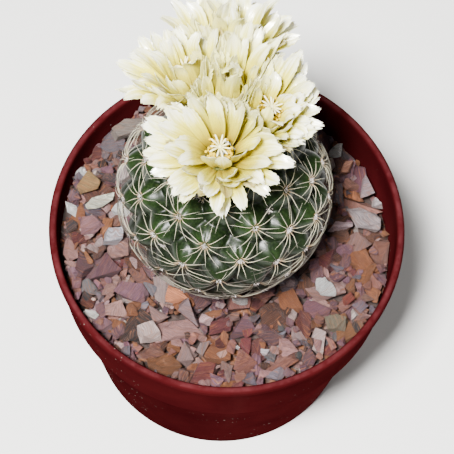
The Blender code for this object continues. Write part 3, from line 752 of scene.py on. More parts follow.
def cut_hole(pot, place):
    """Cut one drain hole through the pot's floor."""
    bm = bmesh.new()
    bmesh.ops.create_cone(bm, cap_ends=True, segments=32, radius1=DRAIN_RADIUS, radius2=DRAIN_RADIUS,
                          depth=4 * (FLOOR_TOP - FLOOR_UNDERSIDE), matrix=Matrix.Translation(place))
    mesh = bpy.data.meshes.new("drain")
    bm.to_mesh(mesh)
    bm.free()
    cutter = new_object("drain", mesh)
    cut = pot.modifiers.new("drain", "BOOLEAN")
    cut.operation = "DIFFERENCE"
    cut.object = cutter
    depsgraph = bpy.context.evaluated_depsgraph_get()
    depsgraph.update()
    result = bpy.data.meshes.new_from_object(pot.evaluated_get(depsgraph))
    pot.modifiers.clear()
    pot.data = result
    bpy.data.objects.remove(cutter)


def ripple(x, y, seed, size):
    """A smooth pseudo-random height from a few crossing waves, from -1 to 1."""
    rng = random.Random(seed)
    total = np.zeros_like(x)
    for k in range(7):
        turn = rng.uniform(0, math.tau)
        length = size * rng.uniform(0.6, 1.6)
        phase = rng.uniform(0, math.tau)
        total += np.sin((x * math.cos(turn) + y * math.sin(turn)) * math.tau / length + phase)
    return total / 4.0


def make_soil():
    """A lumpy top over plain sides, a little inside the pot."""
    radii = np.linspace(SOIL_AXIS, SKIRT_FOOT_RADIUS - WALL - SOIL_GAP, SOIL_RINGS)
    top = turned([(radius, SOIL_TOP - SOIL_SINK) for radius in radii], SOIL_STEPS)
    top[..., 2] += SOIL_LUMPS * ripple(top[..., 0], top[..., 1], SEED, SOIL_LUMP_SIZE)
    outline = [
        (SKIRT_FOOT_RADIUS - WALL - SOIL_GAP, SKIRT_FOOT_HEIGHT + 0.0012),
        (BODY_TOP_RADIUS - WALL - SOIL_GAP, SKIRT_FOOT_HEIGHT - 0.0012),
        (BASE_RADIUS - WALL - 0.0009, FLOOR_TOP + SOIL_GAP),
        (SOIL_AXIS, FLOOR_TOP + SOIL_GAP),
    ]
    rows = SOIL_RINGS + len(outline)
    faces = ring_faces(rows, SOIL_STEPS, False)
    faces.append(list(range(SOIL_STEPS)))
    faces.append([(rows - 1) * SOIL_STEPS + k for k in reversed(range(SOIL_STEPS))])
    soil = Mesh()
    soil.add(np.concatenate([top, turned(outline, SOIL_STEPS)]), faces)
    soil.piece("soil_bed", soil_material(), "soil_dark", ["soil"], 60)


def dressing_surface(x, y):
    """Height of the chips' general surface, as in the frame."""
    toward_low = x * math.cos(DRESSING_LOW_SIDE) + y * math.sin(DRESSING_LOW_SIDE)
    share = np.maximum(0.0, toward_low / BED_RADIUS)
    return POT_HEIGHT - DRESSING_DEPTH - DRESSING_FALL * share * share


# Colours of the crushed stone, each with its share of the chips
STONES = (
    ((0.205, 0.086, 0.072), 17),
    ((0.270, 0.142, 0.134), 14),
    ((0.125, 0.060, 0.080), 20),
    ((0.190, 0.068, 0.030), 11),
    ((0.370, 0.255, 0.250), 8),
    ((0.480, 0.410, 0.410), 3),
    ((0.120, 0.104, 0.128), 11),
    ((0.070, 0.030, 0.024), 11),
    ((0.095, 0.020, 0.024), 9),
    ((0.022, 0.020, 0.023), 3),
)
GRIT = (0.034, 0.020, 0.017)
STONE_CEILING = 0.42

# Chips that the photo singles out: place in the plan, length, breadth share, turn, colour
KEY_CHIPS = (
    (-0.0302, 0.0296, 0.0138, 0.46, 29, (0.200, 0.175, 0.170)),
    (-0.0358, 0.0178, 0.0058, 0.85, 10, (0.014, 0.014, 0.018)),
    (-0.0428, 0.0158, 0.0048, 0.80, 20, (0.660, 0.620, 0.600)),
    (-0.0400, 0.0110, 0.0078, 0.72, 70, (0.430, 0.235, 0.110)),
    (-0.0440, 0.0030, 0.0072, 0.52, 112, (0.680, 0.650, 0.650)),
    (-0.0362, 0.0066, 0.0098, 0.44, 36, (0.640, 0.440, 0.360)),
    (-0.0388, -0.0010, 0.0094, 0.74, 5, (0.270, 0.150, 0.180)),
    (-0.0318, -0.0045, 0.0108, 0.66, 35, (0.215, 0.215, 0.250)),
    (-0.0300, 0.0045, 0.0068, 0.66, 30, (0.640, 0.500, 0.460)),
    (-0.0128, -0.0212, 0.0076, 0.62, -20, (0.430, 0.165, 0.075)),
    (-0.0090, -0.0258, 0.0108, 0.48, -48, (0.330, 0.260, 0.275)),
    (-0.0195, -0.0322, 0.0110, 0.66, -12, (0.640, 0.500, 0.470)),
    (0.0050, -0.0212, 0.0052, 0.50, 10, (0.620, 0.580, 0.560)),
    (0.0265, -0.0140, 0.0124, 0.42, -25, (0.600, 0.530, 0.520)),
    (0.0353, -0.0175, 0.0050, 0.80, 60, (0.260, 0.045, 0.040)),
    (0.0322, -0.0254, 0.0092, 0.60, 25, (0.190, 0.160, 0.120)),
    (0.0392, 0.0088, 0.0112, 0.58, -8, (0.450, 0.350, 0.350)),
    (0.0325, 0.0046, 0.0094, 0.50, 4, (0.560, 0.420, 0.430)),
    (0.0392, 0.0192, 0.0078, 0.70, 100, (0.400, 0.320, 0.320)),
    (0.0335, 0.0245, 0.0080, 0.60, 40, (0.480, 0.230, 0.160)),
    (0.0302, 0.0305, 0.0058, 0.72, 80, (0.640, 0.570, 0.550)),
)


def skew(rng):
    """A random lean, for a chip's shear or the tilt of one of its ends."""
    return Vector((rng.uniform(-CHIP_SKEW, CHIP_SKEW), rng.uniform(-CHIP_SKEW, CHIP_SKEW)))


def chip_points(rng, length, breadth):
    """Corner points of a chip: a shard with facets all round, or a skewed slab of few corners."""
    thickness = length * rng.uniform(*CHIP_THICKNESS)
    points = []
    if rng.random() < SHARD_SHARE:
        half = Vector((0.5 * length, 0.5 * length * breadth, 0.55 * thickness))
        for _ in range(rng.randint(8, 11)):
            way = Vector([rng.gauss(0, 1) for _ in range(3)])
            way /= max(abs(part) for part in way)
            points.append(Vector(w * h * rng.uniform(0.72, 1.0) for w, h in zip(way, half)))
        return points
    corners = rng.randint(3, 5)
    shear = skew(rng)
    for level in (-0.5, 0.5):
        inset = rng.uniform(0.66, 1.0)
        tilt = skew(rng)
        first = rng.uniform(-0.25, 0.25)
        for k in range(corners):
            turn = math.tau * (k + first + rng.uniform(-0.26, 0.26)) / corners
            reach = 0.54 * length * inset * rng.uniform(0.76, 1.0)
            x = reach * math.cos(turn)
            y = reach * breadth * math.sin(turn)
            z = level * thickness * (1 + (tilt.x * x + tilt.y * y) / (0.5 * length))
            points.append(Vector((x + shear.x * z, y + shear.y * z, z)))
    return points


def roughen(bm, rng, length):
    """Break a chip's flat faces and straight edges into small uneven facets."""
    for cuts, depth in ((1, 0.020), (1, 0.011)):
        bmesh.ops.triangulate(bm, faces=bm.faces)
        bmesh.ops.subdivide_edges(bm, edges=bm.edges, cuts=cuts, use_grid_fill=True)
        bm.normal_update()
        for vert in bm.verts:
            vert.co += vert.normal * length * depth * rng.uniform(-1.0, 0.8)


def chip_form(rng, length, breadth):
    """One crushed chip about its centre: points, faces and the planes of its hull."""
    bm = bmesh.new()
    for point in chip_points(rng, length, breadth):
        bm.verts.new(point)
    hull = bmesh.ops.convex_hull(bm, input=bm.verts)
    loose = [item for item in hull["geom_interior"] if isinstance(item, bmesh.types.BMVert)]
    bmesh.ops.delete(bm, geom=loose, context="VERTS")
    bmesh.ops.dissolve_limit(bm, angle_limit=math.radians(9), verts=bm.verts, edges=bm.edges)
    bm.normal_update()
    planes = [(*face.normal, face.normal.dot(face.calc_center_median())) for face in bm.faces]
    if length > CHIP_ROUGHENED:
        roughen(bm, rng, length)
    bm.verts.index_update()
    points = np.array([vert.co for vert in bm.verts])
    faces = [[vert.index for vert in face.verts] for face in bm.faces]
    bm.free()
    return points, faces, np.array(planes)


class Pile:
    """Height of the heap on a fine plan grid, on which chips come to rest one by one."""

    def __init__(self):
        count = int(2 * CHIP_WALL / CHIP_CELL) + 3
        axis = (np.arange(count) - count // 2) * CHIP_CELL
        self.count = count
        self.x, self.y = np.meshgrid(axis, axis, indexing="ij")
        self.height = dressing_surface(self.x, self.y) - GRIT_DEPTH
        self.target = dressing_surface(self.x, self.y)
        outside = np.hypot(self.x, self.y) > CHIP_WALL
        inside = np.hypot(self.x - STEM_X, self.y) < CHIP_INNER
        self.closed = outside | inside

    def rest(self, planes, x, y, reach):
        """A chip's height over the bed, its lift and the cells it covers at rest; None off the bed."""
        low_i, low_j = (int(round((v - reach) / CHIP_CELL)) + self.count // 2 for v in (x, y))
        high_i, high_j = (int(round((v + reach) / CHIP_CELL)) + self.count // 2 + 1 for v in (x, y))
        window = (slice(max(0, low_i), high_i), slice(max(0, low_j), high_j))
        dx = self.x[window] - x
        dy = self.y[window] - y
        normal_z = planes[:, 2]
        room = planes[:, 3, None, None] - planes[:, 0, None, None] * dx - planes[:, 1, None, None] * dy
        level = room / np.where(np.abs(normal_z) < 1e-6, 1e-6, normal_z)[:, None, None]
        top = np.min(np.where(normal_z[:, None, None] > 0, level, np.inf), axis=0)
        bottom = np.max(np.where(normal_z[:, None, None] < 0, level, -np.inf), axis=0)
        covered = top > bottom
        if not covered.any() or self.closed[window][covered].any():
            return None
        thick = (top - bottom)[covered].max()
        lift = (self.height[window] - bottom)[covered].max() - CHIP_SINK * thick
        excess = (lift + top - self.target[window])[covered].mean()
        return excess, lift, window, covered, top

    def cover(self, lift, window, covered, top):
        """Raise the heap to a chip's top."""
        here = self.height[window]
        here[covered] = np.maximum(here[covered], (lift + top)[covered])


def place_chip(pile, form, rng, tries, fixed):
    """Try several places and poses, and let the chip rest where the heap is lowest."""
    points, faces, planes = form
    reach = float(np.linalg.norm(points, axis=1).max())
    best = None
    for _ in range(tries):
        if fixed:
            x, y, turn = fixed
            lean = KEY_CHIP_LEAN
        else:
            radius = math.sqrt(rng.uniform(CHIP_INNER ** 2, CHIP_WALL ** 2))
            angle = rng.uniform(0, math.tau)
            x, y = radius * math.cos(angle) + 0.5 * STEM_X, radius * math.sin(angle)
            turn = rng.uniform(0, math.tau)
            lean = rng.choice(CHIP_LEANS)
        pose = Matrix.Rotation(turn, 3, "Z")
        for axis in "XY":
            pose = pose @ Matrix.Rotation(rng.uniform(-lean, lean), 3, axis)
        pose = np.array(pose)
        facing = planes.copy()
        facing[:, :3] = planes[:, :3] @ pose.T
        found = pile.rest(facing, x, y, reach)
        if found and (best is None or found[0] < best[0]):
            best = (*found, pose, x, y)
    return best


def grit_bed():
    """The bed under the chips: a lumpy ring round the stem."""
    radius = np.linspace(GRIT_INNER, CHIP_WALL, GRIT_RINGS)
    bed = turned([(reach, 0.0) for reach in radius], GRIT_STEPS)
    bed[..., 0] += (STEM_X * (1 - (radius - GRIT_INNER) / (CHIP_WALL - GRIT_INNER)))[:, None]
    x, y = bed[..., 0], bed[..., 1]
    lumps = GRIT_LUMPS * ripple(x, y, SEED + 2, GRIT_LUMP_SIZE)
    bed[..., 2] = dressing_surface(x, y) - GRIT_DEPTH + GRIT_RISE + lumps
    under = bed[[-1, 0]]
    under[..., 2] = SOIL_TOP + SOIL_GAP
    return np.concatenate([bed, under]), ring_faces(GRIT_RINGS + 2, GRIT_STEPS, True)


def strewn_chips(rng):
    """Each chip in the order it is strewn: its form, fixed place, colour and tries."""
    keys = [(chip_form(rng, length, breadth), (x, y, math.radians(turn)), colour, KEY_CHIP_TRIES)
            for x, y, length, breadth, turn, colour in KEY_CHIPS]
    colours, shares = zip(*STONES)
    chips = []
    for number, (count, shortest, longest, tries) in enumerate(CHIP_SIZES):
        for _ in range(count):
            form = chip_form(rng, rng.uniform(shortest, longest), rng.uniform(*CHIP_BREADTH))
            chips.append((form, None, rng.choices(colours, shares)[0], tries))
        if number == KEY_CHIPS_AFTER:
            chips += keys
    return chips


def stone_colour(rng, colour):
    """A chip's own colour: its stone's, lighter or darker and a little off in each channel."""
    light = rng.uniform(*CHIP_LIGHT)
    return [min(STONE_CEILING, c * light * rng.uniform(0.92, 1.06)) for c in colour] + [1.0]


def make_gravel():
    """The bed: grit below, then chips that come to rest in its lowest places."""
    rng = random.Random(SEED + 1)
    bed = Mesh()
    bed.add(*grit_bed(), stone=[*GRIT, 1.0], strata=0.0)
    pile = Pile()
    for form, fixed, colour, tries in strewn_chips(rng):
        found = place_chip(pile, form, rng, tries, fixed)
        if not found or (found[0] > CHIP_EXCESS and not fixed):
            continue
        excess, lift, window, covered, top, pose, x, y = found
        pile.cover(lift, window, covered, top)
        points, faces, planes = form
        bedding = direction(rng.uniform(0.0, 1.1), rng.uniform(0, math.tau))
        strata = points @ np.array(bedding) / BED_PITCH + rng.uniform(0, 400)
        bed.add(points @ pose.T + np.array([x, y, lift]), faces, stone=stone_colour(rng, colour),
                strata=strata)
    bed.piece("stone_chips", stone_material(), "stone_chips", ["gravel"], 20)


def direction(tilt, azimuth):
    """Unit vector at a tilt from +Z and an azimuth from +X."""
    return Vector((math.sin(tilt) * math.cos(azimuth), math.sin(tilt) * math.sin(azimuth), math.cos(tilt)))


def spiral_tips():
    """Directions of the tubercles' tips on the leaning golden spiral, as in the frame."""
    lean = Matrix.Rotation(SPIRAL_LEAN_X, 3, "Y") @ Matrix.Rotation(-SPIRAL_LEAN_Y, 3, "X")
    tips = []
    for k in range(SPIRAL_COUNT):
        height = 1 - 2 * (k + 0.5) / SPIRAL_NUMBER
        out = math.sqrt(1 - height * height)
        turn = k * GOLDEN_ANGLE + SPIRAL_START
        tips.append(lean @ Vector((out * math.cos(turn), out * math.sin(turn), height)))
    return np.array(tips)


STEM_CENTRE = np.array([STEM_X, 0.0, STEM_Z])
TIPS = spiral_tips()
AXES = {name: direction(math.radians(tilt), math.radians(azimuth))
        for name, (tilt, azimuth, size) in BLOOMS.items()}
AXIS_ROWS = np.array([AXES[name] for name in BLOOM_NAMES])


def envelope(toward):
    """Distance from the stem's centre to the tubercles' tips along unit directions."""
    out = np.hypot(toward[:, 0], toward[:, 1])
    lower = 1 / np.hypot(out / TIP_RADIUS, toward[:, 2] / LOWER_DEPTH)
    return np.where(toward[:, 2] >= 0, TIP_RADIUS, lower)


def age_at(height):
    """0 on the fresh part of the stem, rising to 1 low on it, where the stem counts as old and painted
    shade darkens skin and spines.
    """
    return np.clip((AGE_AND_SHADE_BELOW - height) / AGE_AND_SHADE_SPAN, 0, 1)


def seat_share(toward):
    """1 under a bloom's tube, falling to 0 where the free tubercles begin."""
    nearest = np.arccos(np.clip(toward @ AXIS_ROWS.T, -1, 1)).min(axis=1)
    return np.clip((SEAT_OUTER - nearest) / (SEAT_OUTER - SEAT_INNER), 0, 1)


def tangent_frames(tips):
    """Sideways and upward unit vectors on the stem's surface at each tip."""
    side = unit(np.cross(UP, tips))
    return side, np.cross(tips, side)


def relief(toward):
    """Radius of the skin along unit directions, and each one's share of the way up its tubercle."""
    full = envelope(toward)
    side, up = tangent_frames(TIPS)
    near = np.argsort(-(toward @ TIPS.T), axis=1)[:, :3]
    apart = (toward[:, None] - TIPS[near]) * full[:, None, None]
    across = (apart * side[near]).sum(-1)
    along = (apart * up[near]).sum(-1)
    along = along * np.where(along > 0, 1.10, 0.93)
    arcs = np.hypot(across, along)
    arcs.sort(axis=1)
    soft = -VALLEY_SOFTNESS * np.log(np.exp(-arcs / VALLEY_SOFTNESS).sum(axis=1))
    share = np.clip(soft / TUBERCLE_REACH, 0, 1)
    drop = TUBERCLE_RISE * share ** TUBERCLE_SHOULDER
    groove = np.exp(-(across[:, 0] / GROOVE_WIDTH) ** 2) * np.clip((along[:, 0] - 0.0004) / 0.0012, 0, 1)
    groove *= np.clip((0.0046 - along[:, 0]) / 0.0018, 0, 1)
    drop = drop + GROOVE_DEPTH * groove + AREOLE_DEPTH * np.exp(-(soft / AREOLE_RADIUS) ** 2)
    seat = seat_share(toward)
    return (1 - seat) * (full - drop) + seat * CROWN_RADIUS, 1 - share


def make_stem():
    """The skin, from a fine sphere that is drawn in between the tubercles."""
    bm = bmesh.new()
    bmesh.ops.create_icosphere(bm, subdivisions=7, radius=1.0)
    toward = unit(np.array([vert.co for vert in bm.verts]))
    faces = [[vert.index for vert in face.verts] for face in bm.faces]
    bm.free()
    radius, height = relief(toward)
    points = STEM_CENTRE + toward * radius[:, None]
    skin = Mesh()
    skin.add(points, faces, height=height, age=age_at(points[:, 2]))
    skin.piece("stem_skin", skin_material(), "cactus_skin", ["stem"], 80)


def free_tips():
    """Tips that carry spines: clear of the blooms' seats and above the chips."""
    places = STEM_CENTRE + TIPS * envelope(TIPS)[:, None]
    chosen = (seat_share(TIPS) <= 0) & (places[:, 2] > LOWEST_SPINE)
    return TIPS[chosen]


def clear_of_tubes(points):
    """Which points stand off every bloom's tube."""
    offset = points - STEM_CENTRE
    along = offset @ AXIS_ROWS.T
    apart = np.linalg.norm(offset[:, None] - along[:, :, None] * AXIS_ROWS, axis=2)
    return ~((along > 0) & (apart < TUBE_CLEARANCE)).any(axis=1)


def make_spines():
    """Stars of tapered, faintly curved spines; the old ones low on the stem are longer, greyer and darker
    as painted shade.
    """
    rng = np.random.default_rng(SEED + 3)
    tips = free_tips()
    share = np.linspace(0, 1, SPINE_STEPS)
    paths, radii, ages = [], [], []
    for tip, across, rise in zip(tips, *tangent_frames(tips)):
        centre = STEM_CENTRE + tip * envelope(tip[None])[0]
        age = age_at(centre[2])
        count = int(rng.integers(*SPINES_A_CLUSTER))
        start = rng.uniform(0, math.tau)
        for k in range(count):
            turn = start + math.tau * (k + rng.uniform(-0.25, 0.25)) / count
            turn -= 0.44 * age * math.sin(2 * turn)
            away = across * math.cos(turn) + rise * math.sin(turn)
            lift = math.radians(rng.uniform(*SPINE_LIFT) * (1 - 0.7 * age))
            length = rng.uniform(*SPINE_LENGTH) * (1 + 0.35 * age * math.cos(turn) ** 2)
            bend = rng.uniform(0.14, 0.28) + 0.10 * age
            sway = np.cross(tip, away) * rng.uniform(-0.14, 0.14) - rise * 0.16 * age
            foot = centre + away * SPINE_SPREAD - tip * SPINE_SINK
            out = share[:, None] * math.cos(lift) * away
            off = (share * math.sin(lift) + 0.10 * (share > 0) - bend * share ** 2)[:, None] * tip
            paths.append(foot + length * (out + off + (share ** 2)[:, None] * sway))
            radii.append(rng.uniform(*SPINE_RADIUS) * (1 - 0.86 * share ** 1.3))
            # Low on the stem, most spines take the dark old colour: ageing, and painted shade
            ages.append(rng.uniform(0.75, 1.0) if rng.uniform() < AGED_AND_SHADED_SHARE * age else 0.25 * age)
    offset = np.array(paths) - STEM_CENTRE
    offset *= np.minimum(1, SPINE_CEILING / np.linalg.norm(offset, axis=2, keepdims=True))
    paths = STEM_CENTRE + offset
    ends = paths[:, -1]
    level = dressing_surface(ends[:, 0], ends[:, 1])
    keep = clear_of_tubes(ends) & (ends[:, 2] > level + SPINE_OVER_CHIPS)
    paths, radii, ages = paths[keep], np.array(radii)[keep], np.array(ages)[keep]
    bristles("spines", spine_material(), "cactus_skin", (), 50, 4, paths, radii,
             along=np.tile(share, len(paths)), age=np.repeat(ages, SPINE_STEPS))


def valley_directions():
    """Deepest points between neighbouring tubercles: the corners that three tips share."""
    bm = bmesh.new()
    for tip in TIPS:
        bm.verts.new(tip)
    bmesh.ops.convex_hull(bm, input=bm.verts)
    bm.normal_update()
    corners = [face.normal.copy() for face in bm.faces if len(face.verts) == 3]
    bm.free()
    return [corner for corner in corners if corner.z > LOWEST_AXIL]


def tuft(rng, root, outward, count, spread, length, paths, radii):
    """Short curled hairs from one spot."""
    side = unit(np.cross(outward, np.array([0.3, 0.9, 0.2])))
    other = np.cross(outward, side)
    share = np.linspace(0, 1, HAIR_STEPS)
    for _ in range(count):
        turn = rng.uniform(0, math.tau)
        reach = spread * math.sqrt(rng.uniform(0, 1))
        away = side * math.cos(turn) + other * math.sin(turn)
        curl = side * rng.uniform(-1, 1) + other * rng.uniform(-1, 1)
        heading = unit(outward * rng.uniform(0.5, 1.0) + away * rng.uniform(0.1, 0.9))
        bent = share[:, None] * heading + 0.45 * (share ** 2)[:, None] * curl
        paths.append(root + away * reach + length * rng.uniform(0.6, 1.1) * bent)
        radii.append(rng.uniform(*HAIR_RADIUS) * (1 - 0.5 * share))


def make_wool():
    """White wool: a small cushion at each areole, and looser tufts in the axils between tubercles."""
    rng = np.random.default_rng(SEED + 4)
    paths, radii = [], []
    for tip in free_tips():
        place = STEM_CENTRE + tip * (envelope(tip[None])[0] - CUSHION_SINK)
        count = int(CUSHION_HAIRS * (1 - 0.75 * age_at(place[2])))
        tuft(rng, place, tip, count, CUSHION_SPREAD, CUSHION_LENGTH, paths, radii)
    for corner in valley_directions():
        toward = np.array(corner)
        if seat_share(toward[None])[0] > 0 or rng.uniform() > 0.08 + 0.20 * toward[2]:
            continue
        place = STEM_CENTRE + toward * (relief(toward[None])[0][0] - AXIL_SINK)
        count = int(rng.integers(*AXIL_HAIRS))
        tuft(rng, place, toward, count, rng.uniform(*AXIL_SPREAD), AXIL_LENGTH, paths, radii)
    bristles("wool", wool_material(), "cactus_skin", (), 80, 3, paths, radii)


def bloom_frame(name):
    """Matrix that stands a bloom's own +Z along its axis, with its origin at the tube's foot."""
    axis = AXES[name]
    across = Vector((0, 0, 1)).cross(axis).normalized()
    turn = Matrix((across, axis.cross(across), axis)).transposed().to_4x4()
    return Matrix.Translation(Vector(STEM_CENTRE) + axis * TUBE_FOOT) @ turn


def in_bloom(name, points):
    """Points given in a bloom's own frame, moved to where it stands."""
    place = bloom_frame(name)
    return np.array(points) @ np.array(place.to_3x3()).T + np.array(place.translation)


def around(name, azimuth):
    """Unit vectors outward and sideways at an azimuth about a bloom's axis."""
    turn = bloom_frame(name).to_3x3()
    return (turn @ Vector((math.cos(azimuth), math.sin(azimuth), 0.0)),
            turn @ Vector((-math.sin(azimuth), math.cos(azimuth), 0.0)))


def neighbour_planes(name):
    """Planes between this throat and each other: a normal, and how far the bloom may pass the middle."""
    planes = []
    for other in BLOOM_NAMES:
        if other == name:
            continue
        between = AXES[other] - AXES[name]
        room = 0.5 * between.length * (TUBE_FOOT + THROAT_HEIGHT) - THROAT_ROOM
        shift = min(PRECEDENCE_SHIFT, max(0.0, room))
        if PRECEDENCE.index(name) > PRECEDENCE.index(other):
            shift = -shift
        planes.append((between.normalized(), shift))
    return planes


def crowding(name, out, length):
    """How soon a tepal meets the next bloom's: 0 where it is free, toward 1 where it meets at once."""
    throat = AXES[name] * (TUBE_FOOT + THROAT_HEIGHT)
    most = 0.0
    for normal, shift in neighbour_planes(name):
        toward = out.dot(normal)
        if toward > 0:
            most = max(most, 1 + (throat.dot(normal) - shift) / (toward * length))
    return most


def crowded(heading, offset, normals, margin, axis, step):
    """Turn a growing tepal along a neighbour's plane rather than through it."""
    for normal, shift in normals:
        room = shift - margin - offset.dot(normal)
        toward = heading.dot(normal)
        most = max(-1.0, ROOM_SHARE * room / step)
        if toward > most:
            flat = heading - normal * toward
            flat += (axis - normal * axis.dot(normal)) * CROWDED_RISE * (toward - most)
            flat.normalize()
            heading = normal * most + flat * math.sqrt(max(0.0, 1 - most * most))
            heading.normalize()
    return heading


def held_clear(offsets, normals, margin, lowest):
    """Keep points above the spines, on their own bloom's side of each plane and below the frame's top."""
    length = np.linalg.norm(offsets, axis=-1, keepdims=True)
    offsets = offsets * np.maximum(1, lowest / length)
    for normal, shift in normals:
        past = offsets @ np.array(normal) + margin - shift
        offsets = offsets - np.maximum(0, past)[..., None] * np.array(normal)
    offsets[..., 2] = np.minimum(offsets[..., 2], CAD_BOX[1][2] - STEM_Z - TEPAL_THICKNESS)
    return offsets


def tepal_outline(share):
    """Half width along a tepal as a share of its widest: a long oblong that ends in a blunt point."""
    base = 0.42 + 0.58 * np.sin(0.5 * math.pi * np.minimum(1, share / 0.74)) ** 1.2
    tip = 0.50 + 0.50 * np.clip(1 - ((share - 0.80) / 0.20) ** 2.0, 0, 1) ** 0.8
    return base * np.where(share > 0.80, tip, 1.0)


def sheet_faces(rows, columns):
    """Faces of a closed sheet: its upper grid, the lower one turned over, and the band between."""
    total = rows * columns
    index = np.arange(total).reshape(rows, columns)
    top = np.stack([index[:-1, :-1], index[1:, :-1], index[1:, 1:], index[:-1, 1:]], -1).reshape(-1, 4)
    rim = np.concatenate([index[0, :-1], index[:-1, -1], index[-1, :0:-1], index[:0:-1, 0]])
    after = np.roll(rim, -1)
    band = np.stack([rim, after, after + total, rim + total], -1)
    return top.tolist() + (top + total)[:, ::-1].tolist() + band.tolist()


ROWS = np.linspace(0, 1, TEPAL_ROWS + 1)[:, None]
COLUMNS = np.linspace(-1, 1, TEPAL_COLUMNS + 1)
ODD_ROWS = np.arange(TEPAL_ROWS + 1)[:, None] % 2
ODD_COLUMNS = np.arange(TEPAL_COLUMNS + 1) % 2
SHEET = (2, TEPAL_ROWS + 1, TEPAL_COLUMNS + 1)
SHEET_FACES = sheet_faces(*SHEET[1:])
SHEET_VALUES = {
    "along": np.broadcast_to(ROWS, SHEET),
    "across": np.broadcast_to(COLUMNS, SHEET),
    "inner": np.broadcast_to(np.array([1.0, 0.0])[:, None, None], SHEET),
}


def tepal_path(rng, name, azimuth, form, planes, margin, met):
    """A tepal's middle line from the stem's centre, its sideways vectors and its inner normals."""
    length, half_width, root_tilt, final_tilt, root_radius, root_height = form
    axis = AXES[name]
    out, across = around(name, azimuth)
    offset = bloom_frame(name) @ Vector((0, 0, root_height)) + out * root_radius - Vector(STEM_CENTRE)
    step = length / TEPAL_ROWS
    start, end = math.radians(root_tilt), math.radians(final_tilt)
    rumple = 1 + CROWDED_RUMPLE * met
    twist = rng.uniform(-0.40, 0.50) * rumple - FACING_TWIST[name] * out.x
    sway = rng.uniform(-0.22, 0.22) * rumple
    tip_curl = math.radians(rng.uniform(-30, 52) * rumple)
    rows = []
    for k in range(TEPAL_ROWS + 1):
        share = k / TEPAL_ROWS
        tilt = start + (end - start) * min(1.0, share * 1.25) + tip_curl * max(0.0, share - 0.7) / 0.3
        heading = axis * math.cos(tilt) + out * math.sin(tilt) + across * sway * share
        heading = crowded(heading.normalized(), offset, planes, margin, axis, step)
        side = (across - heading * across.dot(heading)).normalized()
        sideways = side * math.cos(twist) + side.cross(heading) * math.sin(twist)
        rows.append((offset, sideways, heading.cross(sideways)))
        offset = offset + heading * step
    return np.array(rows).transpose(1, 0, 2)


def tepal_blade(rng, middle, sides, faces_in, half_width):
    """Grid of a cupped, ribbed blade with a fringed tip and a notched edge."""
    width = half_width * tepal_outline(ROWS)
    cup = rng.uniform(*TEPAL_CUP) * (1 - 0.50 * ROWS)
    phase = rng.uniform(0, math.tau)
    rise = cup * width * (COLUMNS ** 2 - 0.35)
    ruffle = TEPAL_RUFFLE * ROWS ** 2 * np.abs(COLUMNS) * np.sin(9 * ROWS + 3 * COLUMNS + phase)
    crease = -TEPAL_CREASE * np.exp(-(COLUMNS / 0.22) ** 2) * np.sin(math.pi * ROWS)
    ribs = TEPAL_RIB * ODD_COLUMNS * np.minimum(1, 3 * ROWS)
    teeth = np.array([rng.uniform(0.1, 1.3) for _ in COLUMNS]) * np.where(ODD_COLUMNS, 1.0, 0.1)
    point = 0.7 * (1 - np.abs(COLUMNS))
    fringe = TEPAL_FRINGE * np.clip((ROWS - 0.80) / 0.20, 0, 1) ** 1.5 * (teeth + point)
    notch = np.clip((ROWS - 0.62) / 0.3, 0, 1) * np.where(ODD_ROWS, 0.9, -0.7)
    edge = (np.abs(COLUMNS) > 0.99) * np.sign(COLUMNS)
    grid = middle[:, None]
    for vectors, amounts in (
        (sides, width * COLUMNS),
        (faces_in, rise + ruffle + crease + ribs),
        (unit(np.gradient(middle, axis=0)), fringe),
        (sides, TEPAL_NOTCH * notch * edge),
    ):
        grid = grid + vectors[:, None] * amounts[..., None]
    return grid


def add_tepal(flower, rng, name, azimuth, form, margin, outer, met):
    """One tepal: a thin closed sheet over a blade along a path that bends outward."""
    planes = neighbour_planes(name)
    middle, sides, faces_in = tepal_path(rng, name, azimuth, form, planes, margin, met)
    grid = tepal_blade(rng, middle, sides, faces_in, form[1])
    grid = held_clear(grid, planes, margin, PETAL_FLOOR if outer < 1 else SCALE_FLOOR)
    normal = unit(np.cross(np.gradient(grid, axis=0), np.gradient(grid, axis=1)))
    thin = TEPAL_THICKNESS * (1 - 0.45 * np.abs(COLUMNS) ** 3) * (1 - 0.45 * ROWS ** 2)
    half = normal * (0.5 * thin)[..., None]
    points = np.stack([grid + half, grid - half]) + STEM_CENTRE
    flower.add(points, SHEET_FACES, **SHEET_VALUES, outer=outer, met=met, own=rng.uniform(0, 90))


def add_tube(flower, name):
    """The bloom's green-gold tube and the cup of its throat."""
    points, faces = lathe([(radius, height) for radius, height, along in TUBE], TUBE_STEPS)
    along = np.repeat([along for radius, height, along in TUBE], TUBE_STEPS)
    flower.add(in_bloom(name, points), [face[::-1] for face in faces], along=along, across=1.0,
               inner=0.0, outer=1.0, met=1.0, own=0.0)


